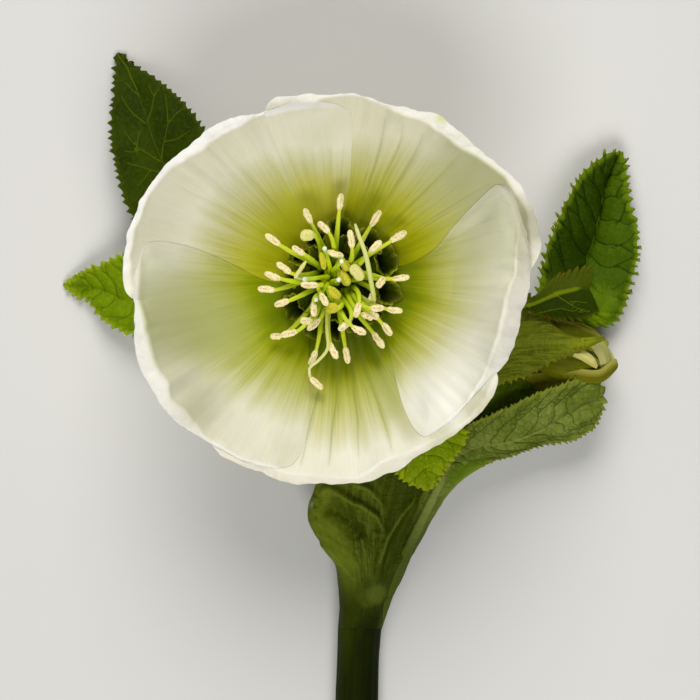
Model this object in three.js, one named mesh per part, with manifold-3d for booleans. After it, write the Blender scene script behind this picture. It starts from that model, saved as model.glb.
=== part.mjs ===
// Hellebore flower: one cut stem lying on a surface, flower face up.
// Millimetres, +Z up. The surface is z = 0, +Y runs from the cut end of the
// stem towards the flower.
//
// The parts are laid out on a plan drawing of 700 x 700 units, u to the right
// and v down, drawn in perspective from a point straight above the plan's
// middle. at(u, v, z) gives the millimetre position of a plan point at height z.

import * as THREE from 'three';
import Module from 'manifold-3d';

const wasm = await Module();
wasm.setup();

// ---------------------------------------------------------------- dimensions
const PLAN_UNIT = 0.165;        // mm per plan unit at the reference height
const EYE_HEIGHT = 415;         // mm, the point the plan is drawn from
const EYE_DISTANCE = 385;       // mm, from that point to the reference height
const ORIGIN = [0.02, -29.68, 0.019];  // mm, from the plan's middle to the origin, under the middle of the part

const FLOWER_U = 337, FLOWER_V = 285;      // plan, middle of the rim
const BASE_U = 336, BASE_V = 280;          // plan, middle of the flower's base
const BASE_Z = 13.2;            // height of the bowl's inner base
const SEPAL_THICKNESS = 0.5;
const SEPAL_PITCH = 0.88;       // between two overlapping sepals
const BASE_ARC = 28;            // plan units, where the sepals are attached
const LEAF_THICKNESS = 0.5;
const STEM_RADIUS = 3.7;
const PEDICEL_RADIUS = 2.25;
const RECEPTACLE_RADIUS = 4.2;
const DISH_RADIUS = 6.3;        // the receptacle's dish, under the sepals
const FILAMENT_RADIUS = 0.22;
const ANTHER_RADIUS = 0.5;
const NECTARY_MOUTH_RADIUS = 1.2;
const OVARY_RADIUS = 1.65;
const STYLE_RADIUS = 0.36;
const BUD_RADIUS = 5.7;

// Height of the bowl's inner face over its base, against the share of the way
// from the middle to the rim: a deep cup whose margins turn outwards.
const BOWL = [
  [0, 0], [0.08, 0], [0.15, 0.25], [0.25, 1.0], [0.35, 2.2], [0.45, 3.9], [0.55, 6.1],
  [0.65, 8.8], [0.74, 11.9], [0.82, 15.3], [0.88, 18.2], [0.925, 20.35], [0.955, 21.45],
  [0.98, 21.95], [1.0, 22.2], [1.04, 22.4],
];
// Rim radius in plan units as a sum of waves round the flower.
const RIM = [199.9, [-9.1, -0.55], [4.2, 3.6], [-0.6, 4.1], [-1.2, 0.6]];
const BOWL_TILT = 0.05;         // the far side stands a little higher

// ---------------------------------------------------------------- helpers
const at = (u, v, z) => {
  const k = PLAN_UNIT * (EYE_HEIGHT - z) / EYE_DISTANCE;
  return [(u - 350) * k - ORIGIN[0], (350 - v) * k - ORIGIN[1], z - ORIGIN[2]];
};
const sub = (a, b) => [a[0] - b[0], a[1] - b[1], a[2] - b[2]];
const addv = (a, b) => [a[0] + b[0], a[1] + b[1], a[2] + b[2]];
const mul = (a, s) => [a[0] * s, a[1] * s, a[2] * s];
const dot = (a, b) => a[0] * b[0] + a[1] * b[1] + a[2] * b[2];
const cross = (a, b) => [a[1] * b[2] - a[2] * b[1], a[2] * b[0] - a[0] * b[2], a[0] * b[1] - a[1] * b[0]];
const len = (a) => Math.sqrt(dot(a, a));
const unit = (a) => mul(a, 1 / (len(a) || 1));
const mix = (a, b, t) => a.map((x, i) => x + (b[i] - x) * t);
const clamp = (x, a, b) => Math.min(b, Math.max(a, x));
const ease = (a, b, x) => { const t = clamp((x - a) / (b - a), 0, 1); return t * t * (3 - 2 * t); };

// A smooth curve through rows of numbers, t from 0 to 1.
const spline = (rows, t) => {
  const n = rows.length - 1;
  const x = clamp(t, 0, 1) * n;
  const i = Math.min(Math.floor(x), n - 1);
  const f = x - i;
  const p1 = rows[i], p2 = rows[i + 1];
  const p0 = i > 0 ? rows[i - 1] : p1.map((q, k) => 2 * q - p2[k]);
  const p3 = i < n - 1 ? rows[i + 2] : p2.map((q, k) => 2 * q - p1[k]);
  return p1.map((q, k) => 0.5 * (2 * q + (p2[k] - p0[k]) * f
    + (2 * p0[k] - 5 * q + 4 * p2[k] - p3[k]) * f * f
    + (3 * q - p0[k] - 3 * p2[k] + p3[k]) * f * f * f));
};

// The same curve, with t measured along its length.
const byLength = (rows, count) => {
  const fine = [];
  const steps = (rows.length - 1) * 24;
  for (let i = 0; i <= steps; i++) fine.push(spline(rows, i / steps));
  const at_ = [0];
  for (let i = 1; i <= steps; i++) {
    let d = 0;
    for (let k = 0; k < fine[i].length; k++) d += (fine[i][k] - fine[i - 1][k]) ** 2;
    at_.push(at_[i - 1] + Math.sqrt(d));
  }
  const out = [];
  let j = 0;
  for (let i = 0; i < count; i++) {
    const want = at_[steps] * i / (count - 1);
    while (j < steps - 1 && at_[j + 1] < want) j++;
    const f = clamp((want - at_[j]) / (at_[j + 1] - at_[j] || 1), 0, 1);
    out.push(mix(fine[j], fine[j + 1], f));
  }
  return out;
};

// Smooth value from a table of [x, y].
const table = (pts, x) => {
  const n = pts.length;
  if (x <= pts[0][0]) return pts[0][1];
  if (x >= pts[n - 1][0]) return pts[n - 1][1];
  let i = 0;
  while (pts[i + 1][0] < x) i++;
  const slope = (k) => {
    if (k === 0) return (pts[1][1] - pts[0][1]) / (pts[1][0] - pts[0][0]);
    if (k === n - 1) return (pts[k][1] - pts[k - 1][1]) / (pts[k][0] - pts[k - 1][0]);
    return (pts[k + 1][1] - pts[k - 1][1]) / (pts[k + 1][0] - pts[k - 1][0]);
  };
  const h = pts[i + 1][0] - pts[i][0];
  const t = (x - pts[i][0]) / h;
  const a = pts[i][1], b = pts[i + 1][1], m0 = slope(i) * h, m1 = slope(i + 1) * h;
  return a * (1 + 2 * t) * (1 - t) ** 2 + m0 * t * (1 - t) ** 2 + b * t * t * (3 - 2 * t) + m1 * t * t * (t - 1);
};

const solid = (pos, idx) => {
  let vol = 0;
  for (let i = 0; i < idx.length; i += 3) {
    vol += dot(pos[idx[i]], cross(pos[idx[i + 1]], pos[idx[i + 2]]));
  }
  if (vol < 0) for (let i = 0; i < idx.length; i += 3) [idx[i + 1], idx[i + 2]] = [idx[i + 2], idx[i + 1]];
  const g = new THREE.BufferGeometry();
  g.setAttribute('position', new THREE.Float32BufferAttribute(pos.flat(), 3));
  g.setIndex(idx);
  g.computeVertexNormals();
  return g;
};

// A thin solid from a grid of points: half its thickness on either side.
const sheet = (grid, thickness, lift = 0) => {
  const nr = grid.length, nc = grid[0].length;
  const pos = [];
  const normal = (r, c) => {
    const a = sub(grid[Math.min(r + 1, nr - 1)][c], grid[Math.max(r - 1, 0)][c]);
    const b = sub(grid[r][Math.min(c + 1, nc - 1)], grid[r][Math.max(c - 1, 0)]);
    const n = unit(cross(a, b));
    return n[2] < 0 ? mul(n, -1) : n;
  };
  for (const side of [1, -1]) {
    for (let r = 0; r < nr; r++) for (let c = 0; c < nc; c++) {
      pos.push(addv(grid[r][c], mul(normal(r, c), lift + side * thickness / 2)));
    }
  }
  const idx = [];
  const id = (s, r, c) => s * nr * nc + r * nc + c;
  const quad = (a, b, c, d) => idx.push(a, b, c, a, c, d);
  for (let r = 0; r < nr - 1; r++) for (let c = 0; c < nc - 1; c++) {
    quad(id(0, r, c), id(0, r, c + 1), id(0, r + 1, c + 1), id(0, r + 1, c));
    quad(id(1, r, c), id(1, r + 1, c), id(1, r + 1, c + 1), id(1, r, c + 1));
  }
  for (let c = 0; c < nc - 1; c++) {
    quad(id(0, 0, c), id(1, 0, c), id(1, 0, c + 1), id(0, 0, c + 1));
    quad(id(0, nr - 1, c), id(0, nr - 1, c + 1), id(1, nr - 1, c + 1), id(1, nr - 1, c));
  }
  for (let r = 0; r < nr - 1; r++) {
    quad(id(0, r, 0), id(0, r + 1, 0), id(1, r + 1, 0), id(1, r, 0));
    quad(id(0, r, nc - 1), id(1, r, nc - 1), id(1, r + 1, nc - 1), id(0, r + 1, nc - 1));
  }
  return solid(pos, idx);
};

// Rings of points joined into one closed body, with a flat fan at each end.
const loft = (rings) => {
  const n = rings[0].length;
  const pos = rings.flat();
  const idx = [];
  for (let r = 0; r < rings.length - 1; r++) for (let i = 0; i < n; i++) {
    const j = (i + 1) % n;
    idx.push(r * n + i, r * n + j, (r + 1) * n + j, r * n + i, (r + 1) * n + j, (r + 1) * n + i);
  }
  const last = (rings.length - 1) * n;
  for (let i = 1; i < n - 1; i++) {
    idx.push(0, i + 1, i);
    idx.push(last, last + i, last + i + 1);
  }
  return solid(pos, idx);
};

// Frames along a path that turn as little as they can.
const frames = (path, start = [0, 0, 1]) => {
  const out = [];
  let side = start;
  for (let i = 0; i < path.length; i++) {
    const t = unit(sub(path[Math.min(i + 1, path.length - 1)], path[Math.max(i - 1, 0)]));
    side = unit(sub(side, mul(t, dot(side, t))));
    out.push([t, side, cross(t, side)]);
  }
  return out;
};

// A round tube through points with a radius each: [x, y, z, radius].
const tubeRings = (pts, sides, start) => {
  const f = frames(pts.map((p) => p.slice(0, 3)), start);
  return pts.map((p, i) => {
    const ring = [];
    for (let k = 0; k < sides; k++) {
      const a = 2 * Math.PI * k / sides;
      ring.push(addv(p.slice(0, 3), addv(mul(f[i][1], p[3] * Math.cos(a)), mul(f[i][2], p[3] * Math.sin(a)))));
    }
    return ring;
  });
};
const tube = (pts, sides, start) => loft(tubeRings(pts, sides, start));
const planTube = (rows, count, sides) => tube(
  byLength(rows.map(([u, v, z, r]) => [...at(u, v, z), r]), count), sides);

const toManifold = (g) => new wasm.Manifold(new wasm.Mesh({
  numProp: 3,
  vertProperties: new Float32Array(g.attributes.position.array),
  triVerts: new Uint32Array(g.index.array),
}));
const join = (geometries) => {
  let all = toManifold(geometries[0]);
  for (const g of geometries.slice(1)) all = all.add(toManifold(g));
  const m = all.getMesh();
  const g = new THREE.BufferGeometry();
  const n = m.numProp, pos = [];
  for (let i = 0; i < m.vertProperties.length / n; i++) {
    pos.push(m.vertProperties[i * n], m.vertProperties[i * n + 1], m.vertProperties[i * n + 2]);
  }
  g.setAttribute('position', new THREE.Float32BufferAttribute(pos, 3));
  g.setIndex(Array.from(m.triVerts));
  g.computeVertexNormals();
  return g;
};

const flower = new THREE.Group();
flower.name = 'hellebore_flower';
const put = (name, geometry, color, roughness) => {
  const mesh = new THREE.Mesh(geometry, new THREE.MeshStandardMaterial({ color, roughness, metalness: 0 }));
  mesh.name = name;
  flower.add(mesh);
};

// ---------------------------------------------------------------- the bowl
const rimAt = (phi) => RIM.slice(1).reduce((s, [c, q], k) => s + c * Math.cos((k + 1) * phi) + q * Math.sin((k + 1) * phi), RIM[0]);
const share = (u, v) => {
  const x = u - FLOWER_U, y = FLOWER_V - v;
  return Math.hypot(x, y) / rimAt(Math.atan2(y, x));
};
const bowlPoint = (u, v) => {
  const f = share(u, v);
  const z = BASE_Z + table(BOWL, f) + BOWL_TILT * (FLOWER_V - v) * PLAN_UNIT * ease(0.2, 0.9, f);
  return at(u, v, z);
};
const bowlNormal = (u, v) => {
  const e = 1.5;
  const a = sub(bowlPoint(u + e, v), bowlPoint(u - e, v));
  const b = sub(bowlPoint(u, v - e), bowlPoint(u, v + e));
  return unit(cross(a, b));
};

// A sepal is a patch between the arc where it is attached, its two side edges
// and its outer margin. outline goes anticlockwise from one end of the arc
// round to the other; its corners are the points where a side edge ends.
const sepal = (middle, outline, corners, layer) => {
  const ns = 16, nt = 9;
  const n = outline.length - 1;
  const piece = (from, to, count) => {
    const part = [];
    for (let i = 0; i <= 60; i++) part.push(spline(outline, (from + (to - from) * i / 60) / n));
    return byLength(part, count);
  };
  const low = piece(0, corners[0], nt + 1);
  const top = piece(corners[0], corners[1], ns + 1);
  const high = piece(corners[1], n, nt + 1).reverse();
  const base = [];
  for (let i = 0; i <= ns; i++) {
    const a = (middle - 29 + 58 * i / ns) * Math.PI / 180;
    base.push([BASE_U + BASE_ARC * Math.cos(a), BASE_V - BASE_ARC * Math.sin(a)]);
  }
  low[0] = base[0];
  high[0] = base[ns];
  const rows = [];
  for (let r = 0; r <= nt; r++) {
    const t = r / nt, row = [];
    for (let i = 0; i <= ns; i++) {
      const q = i / ns;
      const p = [0, 1].map((k) => (1 - t) * base[i][k] + t * top[i][k] + (1 - q) * low[r][k] + q * high[r][k]
        - (1 - q) * (1 - t) * base[0][k] - q * (1 - t) * base[ns][k] - (1 - q) * t * top[0][k] - q * t * top[ns][k]);
      const drop = layer * ease(0.09, 0.165, share(...p));
      row.push(addv(bowlPoint(...p), mul(bowlNormal(...p), drop * SEPAL_PITCH)));
    }
    rows.push(row);
  }
  return sheet(rows, SEPAL_THICKNESS);
};

const SEPALS = {
  sepal_left: [208, 0, [9, 26], [
    [308, 281], [296, 282.5], [280, 283], [262, 279], [240, 268], [215, 256], [190, 247], [165, 243], [150, 245],
    [141, 255], [136, 272], [134, 288], [133.5, 303], [133.6, 321], [134.6, 339], [137.8, 357.5], [143.5, 375],
    [152.5, 391], [161.5, 407], [175, 421], [191, 432], [207, 442], [224, 452], [243, 461], [262, 467], [279, 468],
    [292, 462], [302, 446], [308, 424], [309.5, 400], [309, 372], [309, 345], [312, 322], [318, 307]]],
  sepal_upper_left: [134, -1, [6, 25], [
    [337, 252], [341, 235], [346, 205], [349.5, 180], [351, 155], [351.5, 133], [348, 116], [339, 104.5], [325, 101],
    [309, 100.5], [292, 102.5], [275, 106.5], [258, 113], [240, 117], [222, 121], [206, 129], [193, 140.5],
    [179, 152], [165, 164.5], [154, 179], [143.5, 195], [135, 211.5], [128.8, 229], [124.8, 247.5], [122.8, 266],
    [122.5, 281], [126, 293], [136, 300], [155, 303], [185, 302], [215, 300], [245, 298], [270, 296], [289, 289], [303, 279]]],
  sepal_upper_right: [59, -2, [7, 29], [
    [364, 272], [385, 279], [420, 279], [455, 278], [490, 280], [515, 279], [528, 272], [536, 262], [541, 249],
    [540, 235], [535, 214], [528, 198], [518, 181.5], [503, 168], [490, 156.8], [476, 145.7], [463, 135],
    [450.6, 123], [436, 113.5], [419, 109.4], [402, 106.5], [386, 102.5], [370, 96.5], [354, 93], [337, 92.8],
    [320, 93.2], [303, 93.3], [286, 93.5], [274, 97], [266, 106], [266, 122], [275, 145], [291, 178], [310, 213],
    [330, 247]]],
  sepal_right: [346, 0, [8, 26], [
    [356, 303], [366, 312], [377, 325], [386, 341], [391, 362], [396, 384], [401, 403], [409, 421], [418, 431],
    [427, 433.5], [441, 425.5], [451, 420], [464, 403], [481, 387], [497, 372], [511, 354], [517, 337], [523, 313],
    [528, 296], [531.5, 280], [531, 260], [528, 240], [523.5, 221], [517, 203], [509, 189], [500, 184.5],
    [490, 188], [471, 205], [451, 228], [434, 248], [417, 260], [398, 267], [381, 271], [367, 274]]],
  sepal_bottom: [276, -1, [7, 28], [
    [325, 306], [313, 321], [298, 342], [280, 366], [258, 392], [236, 415], [218, 432], [211, 442], [219, 454],
    [235, 462.5], [251, 469.6], [268, 476], [285, 481.5], [302, 484.3], [320, 484.3], [337, 483.3], [354, 482.7],
    [371.5, 480.5], [388, 475.5], [403, 466.8], [417, 457.5], [432, 449.5], [446, 441], [460, 431.5], [473.5, 421],
    [484.5, 408], [493.5, 394.5], [498.5, 380], [494, 369], [480, 362], [458, 354], [432, 344], [402, 330],
    [375, 315], [352, 302.5]]],
};
const SEPAL_COLOURS = [0xeef0dc, 0xe4e8cf, 0xdde2c6, 0xeef1dd, 0xe6ebcd];
Object.entries(SEPALS).forEach(([name, [middle, layer, corners, outline]], i) => {
  put(name, sepal(middle, outline, corners, layer), SEPAL_COLOURS[i], 0.6);
});

// ---------------------------------------------------------------- nectaries
// Small tubular true petals in a ring, each leaning outwards, open at the top.
const NECTARY_ANGLES = [21, 50, 86, 118, 150, 182, 215, 243, 268, 293, 320, 346];
NECTARY_ANGLES.forEach((deg, i) => {
  const a = deg * Math.PI / 180;
  const mid = at(FLOWER_U, 280, BASE_Z);
  const p = (r, z, radius) => [mid[0] + r * Math.cos(a), mid[1] + r * Math.sin(a), BASE_Z + z - ORIGIN[2], radius];
  const outer = [p(4.75, 1.35, 0.42), p(6.3, 1.85, 0.75), p(7.9, 2.45, 1.0), p(9.2, 3.25, NECTARY_MOUTH_RADIUS)];
  const inner = [p(9.2, 3.25, NECTARY_MOUTH_RADIUS - 0.3), p(8.2, 2.7, 0.66), p(7.2, 2.3, 0.36)];
  const ro = tubeRings(outer, 8);
  const ri = tubeRings([...inner].reverse(), 8).reverse();
  put('nectary_' + String(i + 1).padStart(2, '0'), loft([...ro, ...ri]), 0x6f8f2a, 0.45);
});

// ---------------------------------------------------------------- stamens
// Each row: kind, then plan u, v and height of the foot, of two points that
// bend the filament, and of the anther's two ends.
const STAMENS = [
  ['o', 346.9, 275.6, 14.1, 352.3, 275.6, 17, 377.2, 279.4, 18.7, 392.2, 278.9, 19.4, 409.8, 276.8, 19.3],
  ['o', 352.6, 270.9, 14.1, 356.4, 270.9, 18.9, 374.3, 275.5, 20.2, 383.8, 277.5, 22.9, 376.8, 287.3, 24.1],
  ['o', 344.6, 270.9, 14.1, 350, 267, 17, 375.2, 250.8, 18.6, 390.1, 241.7, 19.3, 407, 231.9, 19.2],
  ['o', 352.0, 274.4, 14.1, 354.0, 271.0, 19.7, 359.7, 262.7, 22.9, 369.8, 252.3, 24.3, 381.7, 241, 24.2],
  ['o', 348.4, 264.6, 14.1, 351, 259.4, 17.9, 362.5, 239.7, 20, 370.5, 226.3, 21, 380.3, 210.2, 20.8],
  ['o', 348.7, 268.7, 14.1, 349.1, 265.3, 19.7, 353.2, 260.6, 22.9, 352.2, 248.1, 24.3, 349.4, 229.8, 24.2],
  ['y', 343.4, 263.6, 14.1, 343.4, 262.7, 17.6, 341.3, 257.4, 19.1, 343.8, 261.4, 20.4, 349.4, 271.2, 21.3],
  ['y', 340.4, 259.6, 14.1, 340.1, 260.3, 17.7, 334.8, 264.5, 19.8, 338.2, 271.2, 20.7, 350.1, 286.6, 20.6],
  ['o', 335.3, 258.5, 14.1, 335.7, 252, 17.9, 337.4, 226.8, 20.1, 339.3, 210.2, 21.1, 341.7, 193.3, 20.9],
  ['o', 334.8, 263.1, 14.1, 333.9, 258.6, 19.3, 336.8, 243.7, 22.2, 329.1, 232.6, 23.5, 317.9, 222.1, 23.3],
  ['o', 329.8, 263.5, 14.1, 329.3, 261.3, 18.4, 320.7, 251.4, 20.7, 327, 251.6, 21.8, 343.8, 256.5, 21.7],
  ['o', 329.2, 258.8, 14.1, 326.9, 253.9, 18.1, 317.8, 236.7, 20.4, 311.6, 223.5, 21.4, 304.5, 208.1, 21.2],
  ['d', 321.8, 261.9, 14.1, 320.6, 257.9, 18.6, 322.5, 238.2, 20.4, 313.7, 234.4, 22.2, 300.3, 235.1, 23.2],
  ['g', 325.1, 265.4, 14.1, 324.3, 262.9, 19.9, 322, 256.8, 21.5, 320.7, 253, 24.6, 324.2, 269.8, 24.5],
  ['o', 320.9, 268.9, 14.1, 318.7, 266.3, 19.6, 315, 261.4, 22.3, 304.5, 254.4, 24.1, 291.9, 246.6, 24.6],
  ['o', 317.8, 265.4, 14.1, 313, 262.2, 19.5, 294.2, 254.8, 22.5, 280, 245.2, 23.9, 265.3, 234, 23.7],
  ['o', 318.4, 273.1, 14.1, 314.8, 272.4, 18.7, 301.6, 278.4, 21.3, 290.5, 273.3, 22.5, 276.5, 262.8, 22.4],
  ['p', 317.2, 279.3, 14.1, 314.1, 278.4, 19.6, 301.6, 278.6, 21.1, 294.7, 278.2, 24, 305.9, 261.4, 23.9],
  ['o', 312.9, 283.1, 14.1, 308.7, 282, 19.3, 294.6, 283.1, 22.2, 280.7, 278.9, 23.6, 264.6, 272.6, 23.4],
  ['o', 312.9, 275.2, 14.1, 308.1, 276.3, 18.7, 290.4, 288.6, 21.3, 275.1, 290.1, 22.5, 257.5, 288.7, 22.4],
  ['o', 318.1, 284.9, 14.1, 317.7, 284.1, 20.8, 328.7, 285.6, 24.5, 317.9, 285.2, 26.2, 300.3, 284.5, 26],
  ['o', 314.8, 288.8, 14.1, 311.4, 289.6, 19.3, 302, 295.9, 22.2, 289.1, 300.7, 23.6, 274.4, 305.6, 23.4],
  ['o', 324.2, 289.8, 14.1, 319, 295, 16.7, 298.4, 328.2, 17.6, 282.1, 335.7, 18.8, 270.2, 336.4, 19.3],
  ['o', 325.2, 293.4, 14.1, 323.5, 293.8, 19.1, 314.4, 292.5, 21.6, 313, 302.1, 23.2, 313.7, 316.8, 23.7],
  ['o', 320.1, 288.6, 14.1, 319.8, 288.5, 20.3, 315.9, 284.9, 23, 320.7, 293.7, 25.3, 327.7, 305.6, 26.1],
  ['o', 329.2, 292.6, 14.1, 325.3, 296.9, 17.5, 311.3, 323.4, 19.4, 297.5, 331.5, 20.2, 280.7, 335.7, 20],
  ['o', 320.7, 292.9, 14.1, 319.3, 295.6, 18.8, 320.1, 316.1, 20.5, 311.6, 320.3, 22.6, 300.3, 320.3, 24],
  ['y', 332.3, 300.3, 14.1, 331.8, 298.3, 19.2, 324.4, 283.8, 22.1, 329.8, 288, 23.4, 341, 300, 23.2],
  ['o', 327, 299.3, 14.1, 326, 301.2, 17.8, 326.1, 311.5, 19.8, 320, 318.9, 20.8, 307.3, 330.1, 20.6],
  ['o', 323.2, 297.6, 14.1, 322.3, 303.5, 17.3, 321.3, 333.1, 19.2, 316.5, 349.8, 20, 309.5, 365.9, 19.8],
  ['o', 329.3, 297.5, 14.1, 329.2, 302.5, 18.1, 325.7, 327.4, 20.3, 329.8, 342.8, 21.4, 337.5, 358.9, 21.2],
  ['y', 337, 300, 14.1, 337, 300.3, 19.9, 347.4, 305.6, 23.1, 338.2, 307.7, 24.6, 323.5, 309.1, 24.5],
  ['o', 336.3, 295.4, 14.1, 337.3, 301.2, 17.2, 342.3, 329.9, 18.9, 345.2, 347, 19.7, 348, 363.8, 19.5],
  ['o', 333.1, 293.3, 14.1, 335.2, 296.6, 20.2, 338.9, 316.3, 23.7, 352.2, 326.6, 25.3, 366.3, 333.6, 25.1],
  ['o', 340.7, 296.5, 14.1, 341.8, 298.8, 19.4, 356.7, 310.9, 22.3, 350.8, 320.3, 23.7, 338.2, 330.1, 23.5],
  ['o', 338.3, 292.5, 14.1, 342.3, 296.9, 16.9, 362.2, 318.7, 18.5, 372.6, 332.2, 19.2, 383.8, 348.4, 19.1],
  ['o', 345.6, 290.3, 14.1, 347.4, 292.5, 19.3, 351.1, 307.1, 21.4, 361.4, 314, 23.5, 373.3, 318.9, 24.6],
  ['o', 353.1, 286.6, 14.1, 353.9, 287.8, 19.9, 361, 290.8, 23.2, 359.3, 302.8, 24.7, 355.1, 317.5, 24.6],
  ['o', 346.1, 296.1, 14.1, 348.9, 297.6, 18.9, 359.4, 307, 20.9, 370.5, 313.3, 22.8, 378.9, 317.5, 23.5],
  ['o', 348, 286.7, 14.1, 352, 290.7, 16.4, 371.5, 311, 17.7, 381.7, 323.1, 18.2, 391.5, 335.7, 18],
  ['o', 350.8, 291.2, 14.1, 353.1, 292.5, 20.5, 356.8, 306.3, 23.4, 370.5, 308.4, 25.8, 384.5, 307.7, 26.6],
  ['o', 341.9, 290.5, 14.1, 347.2, 292.4, 16.7, 371.5, 305.2, 18.3, 386.6, 309.1, 18.9, 402.8, 311.2, 18.8],
  ['o', 354.4, 280.5, 14.1, 356.7, 281.5, 17.1, 372.4, 285.4, 18.4, 373.3, 292.2, 19.6, 368.4, 304.9, 20.5],
  ['d', 349.7, 280.1, 14.1, 351.2, 279.4, 18.6, 358.3, 279.8, 19.8, 362.1, 279.6, 22.2, 350.8, 265.6, 22.1],
];
const FREE_FILAMENT = [[352, 289, 14.1], [360, 296, 18.7], [371, 303, 22.7], [374, 300, 25.2], [372, 287, 26.4], [366, 256, 26.8], [359, 236, 26.4], [355, 224, 25.8]];
const LONG_STAMEN = [[329, 292, 14.1], [327, 305, 19.2], [327, 330, 21.8], [327.7, 348.4, 22.0], [317.9, 361, 21.4], [309.5, 368, 21.0], [310.2, 377.8, 20.8], [322.8, 389.1, 20.9]];
const STAMEN_ROWS = 13;

const stamenMiddle = at(333.5, 279.5, BASE_Z);
const stamens = STAMENS.map(([kind, ...n]) => {
  const [f, c1, c2, a, b] = [0, 3, 6, 9, 12].map((k) => at(n[k], n[k + 1], n[k + 2]));
  const pts = [];
  for (let i = 0; i < 4; i++) {
    const t = i / 4;
    const p = [0, 1, 2].map((k) => (1 - t) ** 3 * f[k] + 3 * (1 - t) ** 2 * t * c1[k] + 3 * (1 - t) * t * t * c2[k] + t ** 3 * a[k]);
    pts.push([...p, FILAMENT_RADIUS * (1 - 0.12 * t)]);
  }
  pts.push([...mix(a, b, -0.04), FILAMENT_RADIUS * 0.85]);
  pts.push([...mix(a, b, 0.2), ANTHER_RADIUS * 0.9], [...mix(a, b, 0.75), ANTHER_RADIUS], [...mix(a, b, 1.0), ANTHER_RADIUS * 0.4]);
  return { foot: f, solid: () => tube(pts, 4) };
});
{
  const rows = byLength(FREE_FILAMENT.map(([u, v, z]) => [...at(u, v, z), 0.24]), 10);
  stamens.push({ foot: rows[0].slice(0, 3), solid: () => tube(rows, 5) });
  const body = byLength(LONG_STAMEN.slice(0, 7).map(([u, v, z]) => [...at(u, v, z), 0.24]), 10);
  const a = at(...LONG_STAMEN[6]), b = at(...LONG_STAMEN[7]);
  stamens.push({
    foot: body[0].slice(0, 3),
    solid: () => tube([...body, [...mix(a, b, 0.2), ANTHER_RADIUS * 0.9], [...mix(a, b, 0.75), ANTHER_RADIUS], [...mix(a, b, 1), 0.2]], 5),
  });
}
const footAngle = (s) => Math.atan2(s.foot[1] - stamenMiddle[1], s.foot[0] - stamenMiddle[0]);
stamens.sort((p, q) => footAngle(p) - footAngle(q));
for (let k = 0; k < STAMEN_ROWS; k++) {
  const from = Math.round(stamens.length * k / STAMEN_ROWS), to = Math.round(stamens.length * (k + 1) / STAMEN_ROWS);
  const row = stamens.slice(from, to);
  const parts = row.map((s) => s.solid());
  // the foot that a row shares
  for (let i = 0; i < row.length - 1; i++) {
    const p = addv(row[i].foot, [0, 0, 0.3]), q = addv(row[i + 1].foot, [0, 0, 0.3]);
    parts.push(tube([[...p, 0.15], [...q, 0.15]], 5));
  }
  put('stamens_row_' + String(k + 1).padStart(2, '0'), join(parts), 0xe9e2b4, 0.7);
}

// ---------------------------------------------------------------- carpels
const carpelMiddle = at(331, 279, BASE_Z);
const STYLES = [
  [95, [329.8, 267, 20.4], [324.2, 247.3, 24.7]],
  [43, [333.6, 269.8, 20.4], [342.4, 260.7, 23.8]],
  [172, [327, 276.8, 20.2], [303.1, 279.6, 24.0]],
  [330, [332.4, 281.6, 20.4], [339.2, 279.6, 24.4]],
  [240, [327.2, 285, 20.2], [315.1, 300.7, 24.1]],
];
const ORDERED = [...STYLES].sort((p, q) => p[0] - q[0]);
ORDERED.forEach(([, kink, tip], i) => {
  const a = (43 + 72 * i + (i > 2 ? 0 : 0)) * Math.PI / 180;
  const ring = (r, z, half) => {
    const out = [];
    const q = (radius, w) => out.push([
      carpelMiddle[0] + radius * Math.cos(a + w), carpelMiddle[1] + radius * Math.sin(a + w), BASE_Z + z - ORIGIN[2]]);
    q(0.32, 0); q(r * 0.72, -half); q(r, -half * 0.45); q(r, half * 0.45); q(r * 0.72, half);
    return out;
  };
  const ovary = loft([ring(OVARY_RADIUS * 0.75, 0.9, 0.42), ring(OVARY_RADIUS, 2.2, 0.46), ring(OVARY_RADIUS, 4.0, 0.46), ring(OVARY_RADIUS * 0.7, 5.6, 0.42)]);
  const top = [carpelMiddle[0] + 0.8 * Math.cos(a), carpelMiddle[1] + 0.8 * Math.sin(a), BASE_Z + 4.6 - ORIGIN[2]];
  const k = at(...kink), t = at(...tip);
  const style = tube([[...top, 0.34], [...mix(top, k, 0.5), STYLE_RADIUS], [...k, STYLE_RADIUS], [...mix(k, t, 0.55), STYLE_RADIUS * 0.9], [...t, STYLE_RADIUS * 0.8]], 6);
  put('carpel_' + (i + 1), join([ovary, style]), 0xa9c83a, 0.5);
});

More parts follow.
